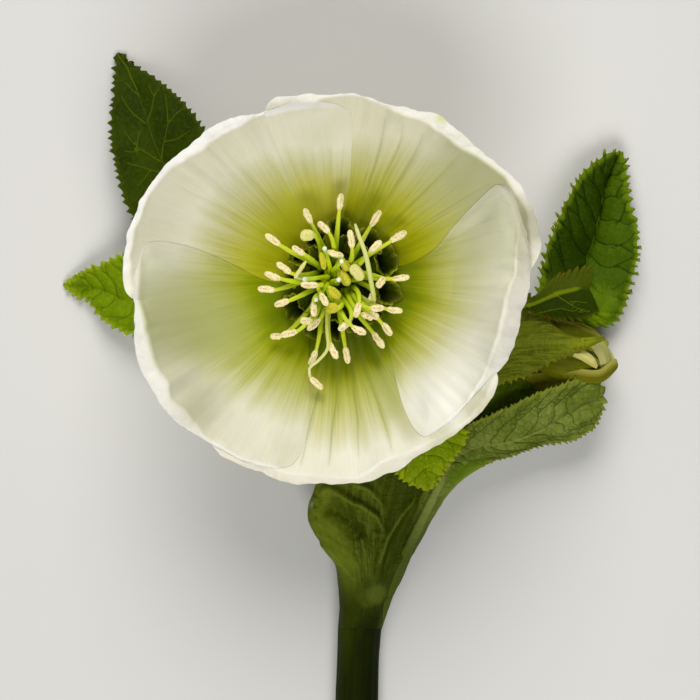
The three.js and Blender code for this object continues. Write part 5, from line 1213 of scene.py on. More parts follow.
def leaf(node, lines, mat, seed, teeth=(7.3, 3.8), lean=7.0, n_side=6, veins=None, vein_from=0.06, rise=0.16, bulge=0.5, groove=0.22,
         quilt=0.16, wave=0.35, rows_mm=0.125, half_cols=24, raised=False, thick=0.36, ridges=None, tip_fade=5.0,
         skip_left=False, skip_right=False, floor_gap=0.04, curl=None, lift=None, fan=0.0, tooth_u=None, tooth_end=0.0):
    mid, left, right = [np.array(x, float) for x in lines]
    rng = np.random.RandomState(seed)
    fine = np.linspace(0, 1, 900)
    M, A, B = spline(mid, fine), spline(left, fine), spline(right, fine)
    d = sum(np.linalg.norm(np.diff(x[:, :2], axis=0), axis=1) for x in (M, A, B)) / 3
    L = np.r_[0, np.cumsum(d)]
    nr = int(L[-1] * PLAN_UNIT / rows_mm)
    t = np.interp(np.linspace(0, L[-1], nr), L, fine)
    x = np.linspace(0, 1, half_cols + 1)
    w = x - 0.5 * np.sin(2 * np.pi * x) / (2 * np.pi)
    halves = []
    for which, line, skip in (("left", left, skip_left), ("right", right, skip_right)):
        # rows run forward as they go out, so the teeth point to the tip
        te = t[:, None] + (lean / L[-1]) * w[None, :] ** 3 * (1 - smooth(0.88, 1.0, t))[:, None] * smooth(0.0, 0.08, t)[:, None]
        P = spline(mid, te) * (1 - w[None, :, None]) + spline(line, te) * w[None, :, None]
        edge_line = P[:, -1, :2]
        s = np.r_[0, np.cumsum(np.linalg.norm(np.diff(edge_line, axis=0), axis=1))]
        # teeth: uneven spacing and size
        marks, sizes = [0.0], []
        while marks[-1] < s[-1] + 12:
            step_ = teeth[0] * rng.uniform(0.62, 1.35)
            sizes.append(rng.uniform(0.55, 1.2) * min(1.25, step_ / teeth[0] + 0.15))
            marks.append(marks[-1] + step_)
        marks, sizes = np.array(marks), np.array(sizes)
        k = np.clip(np.searchsorted(marks, s, side="right") - 1, 0, len(sizes) - 1)
        p = (s - marks[k]) / (marks[k + 1] - marks[k])
        saw = np.where(p < 0.86, (p / 0.86) ** 2.1, 1 - (p - 0.86) / 0.14)
        fade = smooth(0.0, tip_fade, s[-1] - s) * smooth(0, 6, s)
        amp = teeth[1] * sizes[k] * fade * (0.0 if skip else 1.0)
        if tooth_u:
            u0 = tooth_u[0] if which == "left" else tooth_u[1]
            amp = amp * smooth(u0 - 8, u0 + 8, edge_line[:, 0])
        if tooth_end:
            amp = amp * (1 - tooth_end + tooth_end * smooth(0.80, 0.92, t))
        out = P[:, -1, :2] - P[:, 0, :2]
        half_px = np.linalg.norm(out, axis=1)
        out = out / np.maximum(half_px, 1e-6)[:, None]
        tang = unit(np.gradient(edge_line, axis=0))
        square = np.stack([-tang[:, 1], tang[:, 0]], -1)
        square = square * (1 if (square * out).sum(1).mean() > 0 else -1)
        far = smooth(0.86, 0.95, t)[:, None]
        out = unit(out * (1 - far) + square * far)
        e = (1 - w[None, :]) * half_px[:, None]
        fall = np.clip(1 - e / (2.0 * teeth[1] + 0.5), 0, 1) ** 1.2
        shift = (amp * (saw - 0.36))[:, None] * fall
        P[..., :2] += out[:, None] * shift[..., None]
        tipf = (saw ** 3 * (amp > 0.3))[:, None] * np.clip(1 - e / (0.9 * teeth[1]), 0, 1)
        halves.append((P, e * PLAN_UNIT, tipf, half_px))
    (PL, eL, tL, hL), (PR, eR, tR, hR) = halves
    P = np.concatenate([PL[:, ::-1], PR[:, 1:]], axis=1)
    edge = np.concatenate([eL[:, ::-1], eR[:, 1:]], axis=1)
    tooth = np.concatenate([tL[:, ::-1], tR[:, 1:]], axis=1)
    W = np.r_[-w[::-1], w[1:]]
    if lift:
        P[..., 2] += lift(W[None], t[:, None])
    grid = at(P[..., 0], P[..., 1], P[..., 2])
    nrm = unit(np.cross(np.gradient(grid, axis=0), np.gradient(grid, axis=1)))
    if nrm[..., 2].mean() < 0:
        nrm = -nrm
    # veins, in plan
    if veins is None:
        veins = []
        for side, line in ((-1, left), (1, right)):
            for j in range(n_side):
                t0 = vein_from + (0.86 - vein_from) * (j + (0.25 if side > 0 else 0.0)) / n_side + rng.uniform(-0.012, 0.012)
                ww = np.linspace(0, 0.94, 16)
                tj = t0 + rise * (1 - 0.35 * t0) * ww ** 1.25 + 0.01 * np.sin(ww * 9 + j)
                q = spline(mid, tj) * (1 - ww[:, None]) + spline(line, tj) * ww[:, None]
                veins.append(q[:, :2])
                ww2 = np.linspace(0.5, 0.9, 9)
                tb = t0 + rise * (1 - 0.35 * t0) * 0.5 ** 1.25
                tj2 = tb + (ww2 - 0.5) * rise * 2.6
                q2 = spline(mid, tj2) * (1 - ww2[:, None]) + spline(line, tj2) * ww2[:, None]
                veins.append(q2[:, :2])
    flat = P[..., :2].reshape(-1, 2)
    dv, sv, _, which_side = to_lines(flat, veins, True)
    dv = (dv * PLAN_UNIT * (1 + 0.9 * sv)).reshape(edge.shape)
    which_side = which_side.reshape(edge.shape)
    dmid = np.abs(W)[None] * np.where(W[None] < 0, hL[:, None], hR[:, None]) * PLAN_UNIT
    sign = 1.0 if raised else -1.0
    off = bulge * 4 * np.abs(W)[None] * (1 - np.abs(W)[None]) * np.minimum(1, np.where(W[None] < 0, hL[:, None], hR[:, None]) / 25)
    off = off + sign * groove * np.exp(-(dmid / 0.42) ** 2)
    off = off + sign * 0.55 * groove * np.exp(-(dv / 0.32) ** 2)
    off = off + (quilt * (1 - np.exp(-(dv / 1.5) ** 2)) if not raised else 0.3 * quilt * np.exp(-(dv / 0.9) ** 2))
    xm, ym = grid[..., 0], grid[..., 1]
    off = off + wave * fbm2(xm / 6.5, ym / 6.5, seed + 50, 2) * (0.35 + 0.65 * np.abs(W)[None]) * smooth(0.0, 0.15, t)[:, None]
    off = off + 0.05 * fbm2(xm / 1.3, ym / 1.3, seed + 60, 2)
    if ridges:
        for line, height, width in ridges:
            dr, sr, _ = to_lines(flat, [line])
            ends = (smooth(0, 0.12, sr) * smooth(1, 0.88, sr)).reshape(edge.shape)
            off = off + height * ends * np.exp(-(dr.reshape(edge.shape) * PLAN_UNIT / width) ** 2)
    if curl:
        off = off + curl(W[None], t[:, None], edge)
    grid = grid + nrm * off[..., None]
    half = thick * (0.42 + 0.58 * smooth(0.0, 0.9, edge)) * (1 + 0.8 * np.exp(-(dmid / 0.5) ** 2) * smooth(1.0, 0.2, t)[:, None])
    lowest = grid[..., 2] - half / 2
    grid[..., 2] += np.maximum(floor_gap - lowest, 0)
    Lmm = np.interp(t, fine, L) * PLAN_UNIT
    ymm = np.broadcast_to(W[None] * fan, dmid.shape) if fan else np.where(W[None] < 0, -dmid, dmid)
    uvs = {"leaf_mm": np.stack([np.broadcast_to(Lmm[:, None], edge.shape), ymm], -1),
           "leaf_near": np.stack([np.minimum(dv, 5), np.zeros_like(dv)], -1),
           "leaf_vein": np.stack([np.minimum(dv, 5) * which_side, np.minimum(dmid + 0.5 * smooth(0.7, 1.0, t)[:, None], 5)], -1),
           "leaf_edge": np.stack([edge, tooth], -1)}
    verts, quads, uvs, _ = sheet_mesh(grid, half, uvs)
    verts[:, 2] = np.maximum(verts[:, 2], 0.02)
    ob = add_mesh(node + "_leaf", verts, quads, uvs=uvs, mats=[mat])
    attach(ob, "root")
    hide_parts(node)
    return ob


LEAVES = {
    "bract_upper_left": [
        [[200, 262, 5.6], [188, 220, 6.0], [170, 178, 6.6], [155, 145, 6.2], [147, 120, 5.0], [140, 97, 3.6], [133, 78, 2.4], [125, 63, 1.2], [117.5, 53.5, 0.4]],
        [[190, 266, 5.8], [150, 240, 6.8], [126, 206, 7.6], [114, 160, 7.2], [110, 135, 6.0], [111, 112, 4.4], [113, 92, 3.0], [114, 70, 1.5], [116, 55, 0.5]],
        [[210, 257, 5.8], [224, 205, 7.0], [219, 160, 7.6], [203, 127, 7.0], [188, 107, 5.8], [172, 91, 4.4], [155, 78, 3.0], [137, 66, 1.6], [119, 52.5, 0.5]]],
    "bract_left": [
        [[205, 282, 6.2], [170, 294, 5.8], [134, 302, 4.6], [115, 296, 3.4], [103, 290, 2.4], [90, 288, 1.4], [76, 286, 0.8], [63, 285, 0.4]],
        [[203, 275, 6.2], [170, 256, 6.8], [132, 252, 6.0], [112, 258, 4.8], [102, 263, 3.6], [90, 267, 2.4], [76, 275, 1.2], [64, 283, 0.5]],
        [[205, 292, 6.2], [178, 322, 6.6], [136, 335, 5.6], [108, 324, 4.2], [97, 314, 3.0], [90, 303, 2.0], [77, 296, 1.0], [64, 287, 0.5]]],
    "bract_right": [
        [[541, 312, 8.8], [562, 300, 6.6], [580, 281, 3.8], [587, 258, 1.6], [593, 242, 0.9], [597, 225, 0.5], [601, 208, 0.4], [604, 190, 0.6], [609, 175, 1.2], [614, 164, 1.8], [620, 153, 2.2]],
        [[536, 305, 9.5], [536, 290, 9.6], [541, 262, 9.0], [548, 238, 8.2], [557, 218, 7.4], [567, 200, 6.6], [572, 186, 5.8], [581, 173, 4.8], [594, 161, 3.8], [606, 152, 3.0], [618, 149.5, 2.5]],
        [[551, 316, 8.6], [580, 323, 5.4], [607, 326, 3.6], [621, 316, 3.4], [632, 288, 3.9], [638, 266, 4.4], [640, 248, 4.4], [636, 222, 4.2], [630, 195, 3.8], [628, 178, 3.4], [628, 164, 3.0], [624, 152, 2.5]]],
    "bract_small_folded": [
        [[521, 306, 14.1], [533, 304, 14.8], [545, 299, 15.6], [558, 293.5, 16.0], [572, 290, 15.9], [581, 288, 15.2], [588, 289, 14.4]],
        [[525, 291, 13.8], [535, 296, 13.8], [547, 285, 13.7], [557, 277, 13.6], [570, 272, 13.4], [582, 269, 13.2], [595, 267, 13.1]],
        [[522, 312, 13.7], [533, 312, 13.4], [547, 317, 13.0], [561, 319, 12.8], [577, 318, 12.6], [590, 315, 12.4], [600, 312, 12.3]]],
    "bract_over_bud": [
        [[497, 348, 11.8], [518, 343, 13.3], [540, 342, 13.8], [556, 342, 13.9], [578, 341.5, 13.6], [604, 337.8, 12.8]],
        [[498, 322, 10.9], [520, 311, 11.2], [543, 314, 11.3], [556, 328, 12.6], [577, 338, 13.2], [603, 336.5, 12.8]],
        [[494, 386, 11.4], [512, 381, 12.8], [530, 375, 13.3], [545, 365, 13.5], [566, 356, 13.4], [604, 339, 12.7]]],
    "bract_behind_bud": [
        [[466, 420, 8.7], [500, 398, 9.0], [522, 391, 8.7], [546, 387, 7.6]],
        [[470, 402, 9.1], [500, 380, 9.5], [521, 377, 9.2], [546, 384.5, 7.8]],
        [[460, 436, 7.7], [500, 416, 7.9], [525, 403, 7.7], [546, 389.5, 7.4]]],
    "bract_lower_right": [
        [[377.2, 630, 4.0], [385.0, 603, 4.9], [394, 577, 5.9], [403, 557, 7.6], [415, 533, 9.0], [427, 508, 10.1], [437, 487, 10.6], [446, 470, 10.7], [458, 456, 10.6], [477, 447, 10.4], [500, 444, 10.2], [521, 439, 10.0], [545, 428, 9.8], [565, 415, 9.4], [583, 404, 8.8], [596, 398.5, 8.3], [602, 396.5, 8.1]],
        [[376.4, 629, 4.1], [382.4, 601, 4.8], [389.5, 573, 5.6], [396, 552, 6.8], [407, 528, 8.2], [417, 505, 9.5], [426, 485, 10.5], [433, 467, 11.1], [441, 449, 11.4], [459, 431, 11.6], [480, 419, 11.8], [510, 405, 12.0], [540, 392, 12.0], [560, 384, 11.6], [580, 377.5, 11.0], [598, 380.5, 9.4], [603, 394, 8.3]],
        [[378.2, 631, 3.7], [386.6, 605, 3.9], [397.5, 582, 4.2], [409, 560, 5.8], [423, 535, 7.2], [437, 511, 8.3], [449, 491, 8.9], [461, 479, 8.8], [476, 469, 8.4], [492, 461.5, 8.2], [510, 457, 8.0], [530, 450, 7.8], [552, 444, 7.6], [573, 441, 7.4], [592, 429, 7.6], [601, 413, 8.0], [603.5, 399, 8.1]]],
    "bract_lower_lobe": [
        [[425, 412, 14.2], [425, 440, 14.2], [427, 468, 13.8], [429.5, 489, 13.2]],
        [[404, 414, 14.0], [385, 447, 13.6], [400, 478, 13.4], [427, 490.5, 13.1]],
        [[446, 410, 14.0], [468, 434, 13.6], [449, 466, 13.4], [432, 489, 13.1]]],
    "bract_clasping": [
        [[360, 628, 7.25], [362, 606, 7.95], [365, 585, 8.8], [365, 566, 9.8], [362, 545, 11.1], [358, 520, 12.2], [357, 498, 12.6], [359, 480, 12.6], [362, 464, 12.5]],
        [[339.5, 628, 3.9], [340, 606, 4.1], [339, 585, 4.9], [336, 564, 6.4], [324, 547, 8.0], [311, 525, 9.2], [308.5, 507, 9.9], [315, 488, 10.2], [324, 466, 10.5]],
        [[381.5, 628, 3.9], [385.5, 606, 4.1], [392, 587, 4.7], [400, 568, 5.7], [410, 549, 6.6], [421, 528, 7.4], [433, 508, 8.0], [441, 491, 8.5], [446, 474, 8.8]]],
}

pale_tip = srgb(226, 222, 176)
leaf("bract_upper_left", LEAVES["bract_upper_left"],
     leaf_material("leaf_dark", 1.3, srgb(36, 50, 0), srgb(50, 65, 0), srgb(62, 78, 4), srgb(90, 108, 10),
                   srgb(72, 84, 4), pale_tip, net=0.12, raised=True, gloss=0.6, rib=(0.0, 0.01), thread=(0.03, 0.17),
                   thread_mix=0.7),
     201, teeth=(8.2, 5.2), lean=7.0, raised=True, groove=0.07, wave=0.35, rows_mm=0.145, half_cols=30,
     veins=[[(117, 54), (127, 68), (133, 82), (140, 97), (147, 120), (155, 145), (162, 160), (172, 180), (190, 222)],
            [(148, 122), (152, 112), (155, 98), (150, 88)], [(155, 98), (160, 90)],
            [(162, 160), (163, 148), (165, 140), (169, 125), (177, 115)], [(169, 125), (168, 110), (166, 98)],
            [(177, 115), (186, 108)], [(166, 142), (178, 140), (190, 132)],
            [(160, 162), (149, 155), (140, 150), (132, 143), (126, 134)], [(140, 150), (132, 153), (125, 152)],
            [(144, 123), (134, 116), (127, 107), (122, 98)], [(140, 97), (134, 92), (126, 84)],
            [(170, 176), (156, 172), (142, 168), (128, 164)], [(150, 171), (144, 180), (138, 186)],
            [(136, 152), (138, 140), (140, 132)]])
leaf("bract_left", LEAVES["bract_left"],
     leaf_material("leaf_bright", 2.6, srgb(90, 116, 0), srgb(112, 138, 2), srgb(136, 160, 14), srgb(82, 106, 2),
                   srgb(164, 182, 26), srgb(232, 230, 190), net=0.20, gloss=0.55),
     202, teeth=(7.4, 5.4), lean=10.0, n_side=5, wave=0.35, rows_mm=0.14)
# on this leaf the darker left half and lighter right half are painted shade and light, and the two light green spots on
# its right half are a painted sheen
leaf("bract_right", LEAVES["bract_right"],
     leaf_material("leaf_mid", 3.9, srgb(38, 62, 0), srgb(54, 82, 2), srgb(80, 108, 12), srgb(30, 50, 0),
                   srgb(120, 142, 14), srgb(220, 216, 140), net=0.36, gloss=0.5, halves=(srgb(44, 62, 0), srgb(78, 102, 6), 0.5, 1.2), thread=(0.06, 0.28),
                   base=(srgb(112, 140, 10), 0.0, 9.0, 0.8),
                   spots=[(602, 302, 4.5, 4.0, 0.6, srgb(106, 134, 16)), (600, 317, 4.0, 2.6, 0.6, srgb(128, 158, 8))]),
     203, teeth=(8.2, 5.8), lean=10.0, n_side=7, rise=0.12, groove=0.42, quilt=0.40, half_cols=28, wave=0.5, bulge=0.7, rows_mm=0.145)
leaf("bract_small_folded", LEAVES["bract_small_folded"],
     leaf_material("leaf_folded", 4.4, srgb(40, 54, 0), srgb(52, 68, 0), srgb(72, 90, 4), srgb(112, 128, 6),
                   srgb(88, 92, 4), srgb(120, 62, 30), net=0.10, raised=True, gloss=0.5, rib=(0.02, 0.26),
                   thread=(0.02, 0.15), rib_mix=0.8, thread_mix=0.55, halves=(srgb(70, 80, 0), srgb(38, 53, 0), 0.7)),
     204, teeth=(6.0, 5.6), lean=5.0, n_side=4, raised=True, half_cols=20, wave=0.2, groove=0.10,
     veins=[[(556, 294), (566, 300), (577, 306), (591, 311)], [(540, 311), (550, 308), (560, 306), (576, 309), (596, 312)],
            [(566, 300), (574, 299), (584, 301)]])
leaf("bract_over_bud", LEAVES["bract_over_bud"],
     leaf_material("leaf_olive", 5.1, srgb(68, 78, 0), srgb(86, 97, 4), srgb(120, 128, 34), srgb(112, 124, 30),
                   srgb(116, 118, 20), srgb(124, 84, 40), net=0.08, gloss=0.55, streak=0.55, rib=(0.1, 1.3), rib_mix=0.40,
                   raised=True, thread=(0.03, 0.18), thread_mix=0.4,
                   spots=[(588, 342, 13.3, 2.2, 0.6, srgb(142, 152, 16)), (574, 345, 13.6, 1.8, 0.45, srgb(136, 146, 20))]),
     205, teeth=(6.6, 5.0), lean=9.0, n_side=4, rise=0.42, quilt=0.1, rows_mm=0.15, half_cols=30, wave=0.3, tip_fade=18, raised=True,
     groove=0.12, skip_left=True)
leaf("bract_behind_bud", LEAVES["bract_behind_bud"],
     leaf_material("leaf_shade", 5.6, srgb(50, 66, 0), srgb(66, 84, 2), srgb(84, 104, 8), srgb(80, 96, 6),
                   srgb(104, 112, 16), srgb(150, 120, 50), net=0.25, gloss=0.5),
     209, teeth=(6.4, 4.6), lean=5.0, n_side=3, half_cols=16, wave=0.15)
leaf("bract_lower_right", LEAVES["bract_lower_right"],
     leaf_material("leaf_sage", 6.7, srgb(98, 112, 30), srgb(116, 130, 50), srgb(142, 154, 76), srgb(60, 74, 10),
                   srgb(136, 144, 44), srgb(150, 98, 46), net=0.36, gloss=0.5, rib=(0.10, 0.42), rib_mix=0.85,
                   base=(srgb(56, 69, 2), 12.0, 27.5, 0.88),
                   spots=[(456, 476, 9.0, 2.2, 0.75, srgb(92, 122, 6)), (468, 470, 8.6, 2.2, 0.75, srgb(98, 128, 8)),
                          (481, 465, 8.4, 1.9, 0.65, srgb(92, 122, 8))]),
     206, teeth=(5.6, 7.0), lean=7.0, n_side=8, vein_from=0.44, rise=0.10, groove=0.20, quilt=0.30, wave=0.32, rows_mm=0.15,
     half_cols=22, tip_fade=1.5, tooth_u=(470, 484), tooth_end=0.55,
     curl=lambda W, t, edge: 0.55 * np.exp(-(W / 0.25) ** 2) * smooth(0.50, 0.39, t))
leaf("bract_lower_lobe", LEAVES["bract_lower_lobe"],
     leaf_material("leaf_lobe", 7.2, srgb(122, 146, 2), srgb(144, 168, 8), srgb(162, 184, 24), srgb(92, 112, 4),
                   srgb(160, 164, 26), srgb(150, 100, 44), net=0.24, gloss=0.5),
     207, teeth=(6.4, 4.0), lean=6.0, n_side=4, half_cols=18, wave=0.25)


def round_the_stem(W, t):
    """The sheath's base takes the round of the stem, then opens out."""
    k = 1 - 0.68 * smooth(0.22, 0.62, t)
    return k * 3.85 * (np.sqrt(np.clip(1 - W * W, 0, 1)) - (1 - np.abs(W)))


# on the sheath the three dark spots at (346, 514), (335, 503) and (358, 528) are painted shade in the hollow that runs
# from (322, 505) to (364, 540)
leaf("bract_clasping", LEAVES["bract_clasping"],
     leaf_material("leaf_sheath", 8.8, srgb(58, 69, 0), srgb(72, 84, 4), srgb(106, 118, 32), srgb(118, 130, 40),
                   srgb(92, 106, 16), srgb(150, 150, 90), net=0.10, gloss=0.5, streak=0.5, rib=(0.0, 0.5), rib_mix=0.0,
                   thread=(0.0, 0.42), thread_mix=0.42, raised=True, halves=(srgb(116, 130, 30), srgb(42, 53, 0), 0.65, 4.2),
                   base=(srgb(44, 54, 0), 3.0, 11.5, 0.95),
                   spots=[(374, 626, 7.0, 3.6, 0.60, srgb(20, 25, 0)), (357, 632, 7.4, 2.4, 0.35, srgb(26, 33, 0)), (366, 632, 7.4, 2.6, 0.45, srgb(20, 25, 0)),
                          (378, 594, 7.5, 2.4, 0.5, srgb(104, 116, 40)), (367, 598, 7.8, 2.2, 0.35, srgb(92, 104, 24)), (309.5, 504, 9.9, 0.9, 0.7, srgb(176, 180, 150)),
                          (346, 514, 11.0, 2.6, 0.5, srgb(34, 44, 0)), (335, 503, 11.0, 1.8, 0.4, srgb(34, 44, 0)),
                          (358, 528, 11.0, 1.8, 0.45, srgb(34, 44, 0))]),
     208, skip_left=True, skip_right=True, lean=3.0, rows_mm=0.15, half_cols=34, wave=0.30, bulge=0.25, quilt=0.0, groove=0.0, fan=7.0,
     lift=round_the_stem,
     veins=[[(331, 488), (345, 497), (362, 507), (374, 515), (380, 527)], [(352, 484), (368, 490), (380, 502), (382, 520)],
            [(378, 560), (386, 536), (400, 514), (414, 498)], [(404, 552), (420, 528), (430, 510)],
            [(312, 524), (325, 543), (339, 556), (348, 568), (356, 580)]],
     ridges=[([(320, 496), (330, 488), (345, 497), (362, 507), (374, 515), (380, 527), (379, 540)], 1.30, 0.62),
             ([(322, 505), (340, 514), (354, 526), (364, 540)], -1.35, 1.05),
             ([(350, 482), (366, 488), (378, 498), (384, 512), (383, 526)], 0.55, 0.5),
             ([(312, 505), (326, 518), (344, 534), (358, 547)], 0.55, 0.42),
             ([(313, 516), (330, 529), (348, 543), (361, 553)], 0.42, 0.35),
             ([(318, 530), (334, 541), (350, 552), (362, 562)], 0.40, 0.38),
             ([(314, 496), (322, 508), (334, 520)], 0.35, 0.35),
             ([(320, 540), (334, 553), (346, 566), (357, 582)], 0.55, 0.40),
             ([(374, 580), (378, 556), (386, 536), (400, 514), (418, 494)], 0.85, 0.50),
             ([(382, 578), (388, 555), (398, 534), (414, 510)], -0.55, 0.60),
             ([(386, 574), (404, 550), (420, 526), (430, 508)], 0.60, 0.50),
             ([(368, 576), (370, 550), (375, 528)], 0.50, 0.45)])


# ------------------------------------------------------------------ the bud
def bud_material(name, base, light, pale, seed, amount, shade=srgb(84, 98, 26), ripe=None):
    m = Mat(name, Roughness=0.5, Specular_IOR_Level=0.05, Subsurface_Weight=0.08, Subsurface_Scale=0.0006)
    m.bsdf.inputs["Subsurface Radius"].default_value = (0.8, 1.0, 0.3)
    th, t = m.uv("bud_uv")
    edge, tip = m.uv("bud_edge")
    s = m.noise(m.vec(m.mul(th, 46.0), m.mul(t, 2.5), seed), 1.0, 2.0, 0.55, 0.15)
    big = m.noise(m.vec(m.mul(th, 6.0), m.mul(t, 3.0), seed), 1.0, 2.0)
    c = m.mix(m.step(big, 0.35, 0.65), base, light)
    c = m.mix(m.mul(m.step(s, 0.45, 0.65), 0.28), c, light)
    c = m.mix(m.mul(m.step(s, 0.50, 0.34), 0.25), c, shade)
    if ripe:
        c = m.mix(m.mul(m.step(t, ripe[0], ripe[1]), ripe[2]), c, ripe[3])
    c = m.mix(m.mul(m.step(edge, 0.15, 1.15, 1.0, 0.0), amount), c, pale)
    c = m.mix(m.mul(m.step(tip, 0.80, 0.97), amount), c, pale)
    m.colour(c)
    m.bump(s, 0.00012, 0.6)
    return m.m


BUD_AXIS = [(529, 347, 6.3), (550, 351, 6.2), (575, 356, 6.2), (597, 361, 6.3), (614, 364, 6.6)]
BUD_PROFILE = [(0, 0.42), (0.1, 0.74), (0.26, 0.97), (0.45, 1.02), (0.66, 0.93), (0.84, 0.69), (0.95, 0.43), (1, 0.22)]
BUD_RADIUS = 5.7
bud_axis = along(spline([at(*p) for p in BUD_AXIS], np.linspace(0, 1, 300)), np.linspace(0, 1, 61))
bud_t, bud_s, bud_b = frames_of(bud_axis, (0, 0, 1))


def bud_point(t, ang, inset):
    t, ang, inset = np.broadcast_arrays(t, ang, inset)
    x = np.clip(t, 0, 1) * 60
    i = np.minimum(np.floor(x).astype(int), 59)
    f = (x - i)[..., None]
    c = bud_axis[i] * (1 - f) + bud_axis[i + 1] * f
    s = unit(bud_s[i] * (1 - f) + bud_s[i + 1] * f)
    b = unit(bud_b[i] * (1 - f) + bud_b[i + 1] * f)
    r = np.maximum(BUD_RADIUS * table(BUD_PROFILE, t) - inset, 0.2)[..., None]
    return c + s * r * np.cos(ang)[..., None] + b * r * np.sin(ang)[..., None]


def bud_shell(node, lo, hi, t0, t1, mat, seed, flare=0.0, point=0.35, nr=90, nc=56):
    t = np.linspace(0, 1, nr)[:, None]
    c = np.linspace(0, 1, nc)[None, :]
    # narrower towards the tip
    half = 0.5 * (1 - point * smooth(0.72, 1.0, t))
    cc = 0.5 + (c - 0.5) * 2 * half
    ang = np.radians(lo + (hi - lo) * cc)
    tt = t0 + (t1 - t0) * t * (1 - 0.03 * np.cos(2 * np.pi * (c - 0.5)) * 0)
    e = np.minimum(c, 1 - c) * 2
    inset = -0.10 * fbm2(cc * 4, tt * 5, seed, 2) + 0.05 * np.cos(cc * np.pi * 2 * 9) * smooth(0, 0.1, tt)
    inset = inset - 0.10 * (1 - smooth(0.0, 0.16, e)) - flare * smooth(0.86, 1.0, t) * (0.6 + 0.4 * np.cos((cc - 0.5) * np.pi))
    p = bud_point(tt, ang, inset)
    width = np.linalg.norm(np.diff(p, axis=1), axis=2).sum(1)[:, None]
    edge = np.minimum(c, 1 - c) * width
    q = bud_point(tt, ang, inset + 0.18 + 0.26 * smooth(0.0, 1.0, edge) * smooth(1.0, 0.94, t))
    verts = np.vstack([p.reshape(-1, 3), q.reshape(-1, 3)])
    m_ = nr * nc
    quads = grid_faces(nr, nc)
    border = np.r_[np.arange(nc), np.arange(1, nr) * nc + nc - 1, (nr - 1) * nc + np.arange(nc - 2, -1, -1),
                   np.arange(nr - 2, 0, -1) * nc]
    nxt = np.roll(border, -1)
    quads = np.vstack([quads, quads[:, ::-1] + m_, np.stack([nxt, border, border + m_, nxt + m_], -1)])
    uv = np.stack([np.broadcast_to(cc, p.shape[:2]), np.broadcast_to(tt, p.shape[:2])], -1).reshape(-1, 2)
    ed = np.stack([edge, np.broadcast_to(t, p.shape[:2])], -1).reshape(-1, 2)
    ob = add_mesh(node + "_fine", verts, quads, uvs={"bud_uv": np.vstack([uv, uv]), "bud_edge": np.vstack([ed, ed])},
                  mats=[mat])
    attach(ob, "root")
    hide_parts(node)
    return ob


bud_olive = bud_material("bud_olive", srgb(86, 91, 0), srgb(102, 107, 2), srgb(150, 146, 60), 3.3, 0.55, srgb(52, 58, 0))
bud_deep = bud_material("bud_deep", srgb(92, 96, 2), srgb(112, 116, 8), srgb(150, 150, 40), 5.9, 0.4, srgb(70, 76, 0),
                        (0.50, 0.88, 0.85, srgb(158, 156, 44)))
bud_cream = bud_material("bud_cream", srgb(176, 178, 92), srgb(204, 202, 124), srgb(220, 216, 148), 7.1, 0.6,
                         srgb(140, 146, 60))
bud_flap = bud_material("bud_flap", srgb(196, 189, 98), srgb(212, 206, 116), srgb(224, 218, 136), 8.3, 0.5,
                        srgb(160, 156, 62))
bud_strap = bud_material("bud_strap", srgb(160, 158, 88), srgb(176, 174, 104), srgb(190, 186, 118), 8.9, 0.5,
                         srgb(138, 138, 60))
bud_tongue = bud_material("bud_tongue", srgb(98, 96, 0), srgb(114, 111, 4), srgb(178, 172, 84), 9.7, 0.6,
                          srgb(84, 84, 0))
bud_shell("bud_sepal_upper", -8, 106, 0.02, 0.97, bud_olive, 71)
bud_shell("bud_sepal_lower", 232, 346, 0.02, 0.9, bud_deep, 72, flare=0.35)
bud_shell("bud_sepal_under", 112, 226, 0.02, 0.93, bud_deep, 73)


def bud_piece(name, node, mat, left, right, bulge, thick):
    """A small fold of a sepal between two outlines that run the same way."""
    nr, nc = 70, 30
    t, w = np.linspace(0, 1, nr)[:, None], np.linspace(0, 1, nc)[None, :]
    A, B = spline(left, t[:, 0]), spline(right, t[:, 0])
    P = A[:, None] * (1 - w[..., None]) + B[:, None] * w[..., None]
    g = at(P[..., 0], P[..., 1], P[..., 2])
    n = unit(np.cross(np.gradient(g, axis=0), np.gradient(g, axis=1)) + 1e-12)
    if n[..., 2].mean() < 0:
        n = -n
    span = np.linalg.norm(np.diff(g, axis=1), axis=2).sum(1)[:, None]
    edge = np.minimum(w, 1 - w) * span
    along_ = np.minimum(t, 1 - t) * 6.0
    soft_ = smooth(0.0, 0.9, np.minimum(edge, along_ + 0.05))
    g = g + n * (bulge * 4 * w * (1 - w) * smooth(0.0, 0.2, t) * smooth(1.0, 0.8, t) + 0.05 * fbm2(g[..., 0], g[..., 1], 91, 2))[..., None]
    uvs = {"bud_uv": np.stack([np.broadcast_to(w, edge.shape), np.broadcast_to(t * 0.7, edge.shape)], -1),
           "bud_edge": np.stack([edge, np.broadcast_to(t * 0.7, edge.shape)], -1)}
    verts, quads, uvs, _ = sheet_mesh(g, thick * (0.3 + 0.7 * soft_), uvs)
    ob = add_mesh(name, verts, quads, uvs=uvs, mats=[mat])
    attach(ob, "root")
    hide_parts(node)


